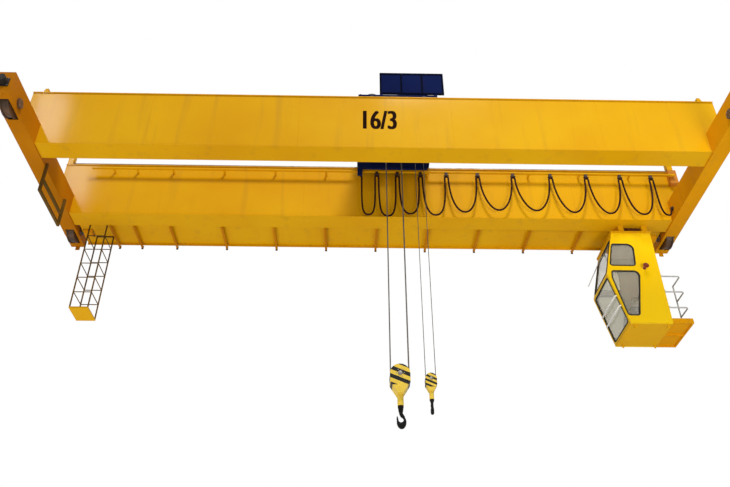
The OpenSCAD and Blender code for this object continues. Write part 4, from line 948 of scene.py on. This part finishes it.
def pane_outlines(node):
    """Outline of each pane of a glass node, with the way that looks out of the cab."""
    pane = nodes[node]
    bm = bmesh.new()
    bm.from_mesh(pane.data)
    bmesh.ops.transform(bm, matrix=pane.matrix_world, verts=bm.verts)
    bmesh.ops.remove_doubles(bm, verts=bm.verts, dist=1e-5)
    done = set()
    found = []
    for seed in bm.verts:
        if seed in done:
            continue
        island, reach = {seed}, [seed]
        while reach:
            vert = reach.pop()
            near = {e.other_vert(vert) for e in vert.link_edges} - island
            island |= near
            reach.extend(near)
        done |= island
        faces = {f for v in island for f in v.link_faces}
        out = max(faces, key=lambda f: f.calc_area()).normal.copy()
        middle = sum((v.co for v in island), Vector()) / len(island)
        if out.dot(middle - Vector(CAB_MIDDLE)) < 0:
            out = -out
        top = max(v.co.dot(out) for v in island)
        rim = [v.co.copy() for v in island if v.co.dot(out) > top - 0.001]
        side = out.orthogonal().normalized()
        other = out.cross(side)
        rim.sort(key=lambda p: atan2((p - middle).dot(other), (p - middle).dot(side)))
        found.append((rim, out))
    bm.free()
    return found


def gaskets():
    """Dark rubber round every pane, standing proud of the wall."""
    for node, proud in GASKET_PROUD.items():
        shape = Shape()
        for rim, out in pane_outlines(node):
            shape.tube([p + out * proud for p in rim], GASKET_R, 8, loop=True)
            shape.tube([p + out * GASKET_SINK for p in rim], GASKET_R * 0.8, 8, loop=True)
        shape.piece(f"{node}_gasket", black_rubber, "black_rubber", smooth=60)


BAR_SHARES = (0.43, 0.65)
BAR_R = 0.016
BAR_OUT = 0.045
BAR_PAST = 0.012
BAR_FOOT = 0.04
BAR_BEND = (0.012, 0.015)


def window_bars():
    """Guard bars across the lower front window, on short stand-offs."""
    rim, out = pane_outlines("cab_glass_lower")[0]
    low, *_, top = sorted(rim, key=lambda p: p.z)
    ys = (min(p.y for p in rim) - BAR_PAST, max(p.y for p in rim) + BAR_PAST)
    foot, drop, along = out * BAR_FOOT, out * BAR_BEND[0], Y_AXIS * BAR_BEND[1]
    shape = Shape()
    for share in BAR_SHARES:
        at = top + (low - top) * share + out * BAR_OUT
        left, right = [Vector((at.x, y, at.z)) for y in ys]
        shape.tube([left - foot, left - drop, left + along, right - along, right - drop, right - foot],
                   BAR_R, 10)
    shape.piece("window_bars", bar_white, "grey_paint")


HANGER_W = 0.12
SCREEN_IN = 0.12
SCREEN_T = 0.008
SCREEN_FOLD = 0.03
RIB_SHARES = (0.25, 0.5, 0.75)
RIB_T = 0.006
RIB_H = 0.018


def painted_shade_screen():
    """Folded dark brown plate with ribs between the two near hangers of the cab: a dark sheet of painted
    shade standing in for the shade between them.
    """
    low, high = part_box("cab_hangers")
    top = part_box("girder_far")[0][2]
    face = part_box("girder_far")[1][1] - SCREEN_IN
    xs = (low[0] + HANGER_W, high[0] - HANGER_W)
    shape = Shape()
    shape.box((xs[0], face, low[2]), (xs[1], face + SCREEN_T, top), 0.002)
    shape.box((xs[0], face - SCREEN_FOLD, low[2]), (xs[1], face, low[2] + SCREEN_T), 0.002)
    for share in RIB_SHARES:
        x = xs[0] + (xs[1] - xs[0]) * share
        shape.box((x - RIB_T, face - RIB_H, low[2] + SCREEN_T), (x + RIB_T, face, top - 0.004), 0.001)
    shape.piece("painted_shade_screen", painted_shade_brown, "yellow_paint")


ROD_PATH = [(5.10, 1.60, -0.300), (5.03, 1.60, -0.350), (4.994, 1.60, -0.403), (4.80, 1.60, -0.760),
            (4.606, 1.60, -1.117)]
ROD_R = 0.010
ROD_OUT = (-0.97, 0, 0.26)


def windscreen_rod():
    """Rod in front of the windscreen, with the boss that holds it."""
    shape = Shape()
    shape.tube(ROD_PATH, ROD_R, 10)
    shape.lathe([(0.024, 0), (0.024, 0.02), (0.014, 0.03)], ROD_PATH[0], ROD_OUT, 16)
    shape.piece("windscreen_rod", grey, "grey_paint")


CEILING_PANELS = 3
CEILING_FRONT = 0.09
CEILING_GAP = 0.004
CEILING_DROP = 0.016
CEILING_SCREW = 0.06


def cab_ceiling():
    """Lining panels under the roof of the cab, with their screws."""
    low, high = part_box("cab_back_wall")
    roof_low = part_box("cab_roof")[0]
    start, end = roof_low[0] + CEILING_FRONT, low[0] - CEILING_GAP
    bottom = roof_low[2] - CEILING_DROP
    shape = Shape()
    for i in range(CEILING_PANELS):
        xs = [start + (end - start) * (i + k) / CEILING_PANELS for k in (0.01, 0.99)]
        shape.box((xs[0], low[1] + CEILING_GAP, bottom), (xs[1], high[1] - CEILING_GAP, roof_low[2] - 0.002))
        for y in (low[1] + CEILING_SCREW, high[1] - CEILING_SCREW):
            shape.bolt(((xs[0] + xs[1]) / 2, y, bottom), -Z_AXIS, 0.008)
    shape.piece("cab_ceiling", bar_white, "grey_paint")


DOOR_HALF = 0.310
DOOR_SILL = 0.06
DOOR_POST = (-0.03, 1.85)
DOOR_TOP = 1.82
TRIM_W = 0.035
TRIM_X = (-0.002, 0.012)


def door_frame():
    """Trim round the doorway in the back wall of the cab."""
    low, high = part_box("cab_back_wall")
    middle = (low[1] + high[1]) / 2
    sill = low[2] + DOOR_SILL
    top = sill + DOOR_TOP
    outer = DOOR_HALF + TRIM_W
    xs = [high[0] + x for x in TRIM_X]
    shape = Shape()
    for side in (-1, 1):
        ys = sorted((middle + side * DOOR_HALF, middle + side * outer))
        shape.box((xs[0], ys[0], sill + DOOR_POST[0]), (xs[1], ys[1], sill + DOOR_POST[1]), 0.003)
    shape.box((xs[0], middle - outer, top), (xs[1], middle + outer, top + TRIM_W), 0.003)
    shape.piece("cab_door_frame", yellow, "yellow_paint")


HAND_RAIL_R = 0.015
HAND_RAIL_DROPS = (0.015, 0.390, 0.760)


def rail_feet():
    """Round feet where the cab's guard rail meets the wall and the platform."""
    low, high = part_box("cab_guard_rail")
    shape = Shape()
    for drop in HAND_RAIL_DROPS:
        shape.lathe([(0.034, 0.0), (0.034, 0.007), (0.020, 0.012)],
                    (low[0], low[1] + HAND_RAIL_R, high[2] - drop), X_AXIS, 20)
    shape.lathe([(0.040, 0.0), (0.040, 0.008), (0.022, 0.014)],
                (high[0] - HAND_RAIL_R, high[1] - HAND_RAIL_R, low[2]), Z_AXIS, 20)
    shape.piece("guard_rail_feet", grey, "grey_paint")


MARK_AT = (0.055, 0.63)
MARK_H = 0.70
MARK_NARROW = 0.60
MARK_BOLD = 0.016
MARK_T = 0.0012
MARK_SINK = 0.0008
MARK_LIFT = 0.0002


def capacity_mark():
    """Plain painted numerals in the middle of the near web."""
    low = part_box("girder_near")[0]
    text = bpy.data.curves.new("mark", "FONT")
    text.body = "16/3"
    text.align_x = "CENTER"
    text.size = MARK_H
    text.extrude = MARK_T
    letters = add_object("mark", text)
    letters.location = (MARK_AT[0], low[1] + WEB_LIP - MARK_SINK, MARK_AT[1])
    letters.rotation_euler = (radians(90), 0, 0)
    letters.scale.x = MARK_NARROW
    bpy.context.view_layer.update()
    mesh = bpy.data.meshes.new_from_object(letters.evaluated_get(bpy.context.evaluated_depsgraph_get()))
    mesh.transform(letters.matrix_world)
    bpy.data.objects.remove(letters)
    shape = Shape()
    for step in (-MARK_BOLD, MARK_BOLD, MARK_BOLD):
        mesh.transform(Matrix.Translation((step, -MARK_LIFT, 0)))
        shape.bm.from_mesh(mesh)
    shape.piece("capacity_mark", mark_black, "yellow_paint")


TERMINAL_X = (6.60, 6.78)
TERMINAL_Z = (1.08, 1.46)
LID_EDGE = 0.005
LID_Y = (0.112, 0.098)
LID_SCREW = 0.02


def terminal_box():
    """Cable box with its lid at the end of the track, and the gland where the cable enters the carriage."""
    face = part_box("girder_far")[0][1] + WEB_LIP
    shape = Shape()
    shape.box((TERMINAL_X[0], face - 0.10, TERMINAL_Z[0]), (TERMINAL_X[1], face, TERMINAL_Z[1]), 0.008)
    shape.box((TERMINAL_X[0] - LID_EDGE, face - LID_Y[0], TERMINAL_Z[0] - LID_EDGE),
              (TERMINAL_X[1] + LID_EDGE, face - LID_Y[1], TERMINAL_Z[1] + LID_EDGE), 0.005)
    for x in (TERMINAL_X[0] + LID_SCREW, TERMINAL_X[1] - LID_SCREW):
        for z in (TERMINAL_Z[0] + LID_SCREW, TERMINAL_Z[1] - LID_SCREW):
            shape.bolt((x, face - LID_Y[0], z), -Y_AXIS, 0.007)
    shape.piece("terminal_box", orange, "yellow_paint")
    gland = Shape()
    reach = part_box("carriage_right")[0][0] - CABLE_END.x
    gland.lathe([(CABLE_D * 0.55, -0.022), (CABLE_D * 0.80, -0.018), (CABLE_D * 0.80, reach * 0.6),
                 (CABLE_D * 1.15, reach * 0.6), (CABLE_D * 1.15, reach)],
                (CABLE_END.x, CABLE_Y, CABLE_END.y), X_AXIS, 20)
    gland.piece("cable_gland", black_rubber, "black_rubber")


# Scene: camera, light and floor

def camera():
    """The photograph's camera."""
    lens = bpy.data.cameras.new("camera")
    lens.sensor_width = SENSOR_MM
    lens.lens = FOCAL_PX / IMAGE_W * SENSOR_MM
    lens.clip_end = 200
    made = add_object("camera", lens)
    made.location = CAMERA_AT
    made.rotation_euler = (radians(90 + CAMERA_PITCH), 0, radians(-CAMERA_YAW))
    bpy.context.scene.camera = made


def lamp(name, at, towards, size, watts, colour=(1, 1, 1), spread=180):
    """A soft rectangular lamp."""
    light = bpy.data.lights.new(name, "AREA")
    light.shape = "RECTANGLE"
    light.size, light.size_y = size
    light.energy = watts
    light.color = colour
    light.spread = radians(spread)
    made = add_object(name, light)
    made.location = at
    made.rotation_euler = (Vector(towards) - Vector(at)).to_track_quat("-Z", "Y").to_euler()


AMBIENT = 0.38


def daylight():
    """White background, with a plain soft level of light on the object."""
    world = bpy.data.worlds.new("studio")
    bpy.context.scene.world = world
    world.use_nodes = True
    made = Nodes(world.node_tree)
    background = made.tree.nodes["Background"].inputs
    made.feed(background["Color"], (1, 1, 1, 1))
    path = made.add("LightPath").outputs
    seen = path["Is Camera Ray"]
    for extra in ("Is Glossy Ray", "Is Transmission Ray"):
        seen = made.math("MAXIMUM", seen, path[extra])
    level = made.add("MapRange", {"Value": seen, "To Min": AMBIENT, "To Max": 1.0})
    made.feed(background["Strength"], level.outputs["Result"])


def floor():
    """Pale ground far below."""
    reach = 60
    mesh = bpy.data.meshes.new("floor")
    corners = [(-reach, -reach), (reach, -reach), (reach, reach), (-reach, reach)]
    mesh.from_pydata([(x, y, FLOOR_Z) for x, y in corners], [], [(0, 1, 2, 3)])
    paint = Paint("floor", roughness=0.9)
    paint.set("Base Color", paint.tones([(0.3, (0.86, 0.86, 0.85)), (0.7, (0.9, 0.9, 0.9))], 0.3, 3))
    mesh.materials.append(paint.material)
    made = add_object("floor", mesh)


def studio():
    """Everything round the object: camera, background, ground and lamps."""
    bpy.context.scene.view_settings.view_transform = "Standard"
    camera()
    daylight()
    floor()
    lamp("sun", (3.2, -14, 18.5), (0.5, 0, 0.8), (5, 5), 4100, (1.0, 0.98, 0.94))
    lamp("front", (8, -15, -9.5), CAB_MIDDLE, (4, 4), 98, spread=44)
    lamp("bounce", (-4, -2, -10.8), (-1, 0, 0.5), (16, 8), 800, (1.0, 0.92, 0.78))
    lamp("left_window", (-14.6, -16.4, 15.4), (-6.3, 0, 0.8), (1.4, 2.4), 440)


studio()
dress_nodes()
festoon()
carriers()
ropes()
hooks()
block_fittings("main", MAIN_X, MAIN_PIN_R)
block_fittings("aux", AUX_X, AUX_PIN_R)
rail_clips()
girder_seams()
carriage_fittings()
drives()
cage_rungs()
bracket_flanges()
hoist_fittings()
guard_edging()
gaskets()
window_bars()
painted_shade_screen()
windscreen_rod()
cab_ceiling()
door_frame()
rail_feet()
capacity_mark()
terminal_box()
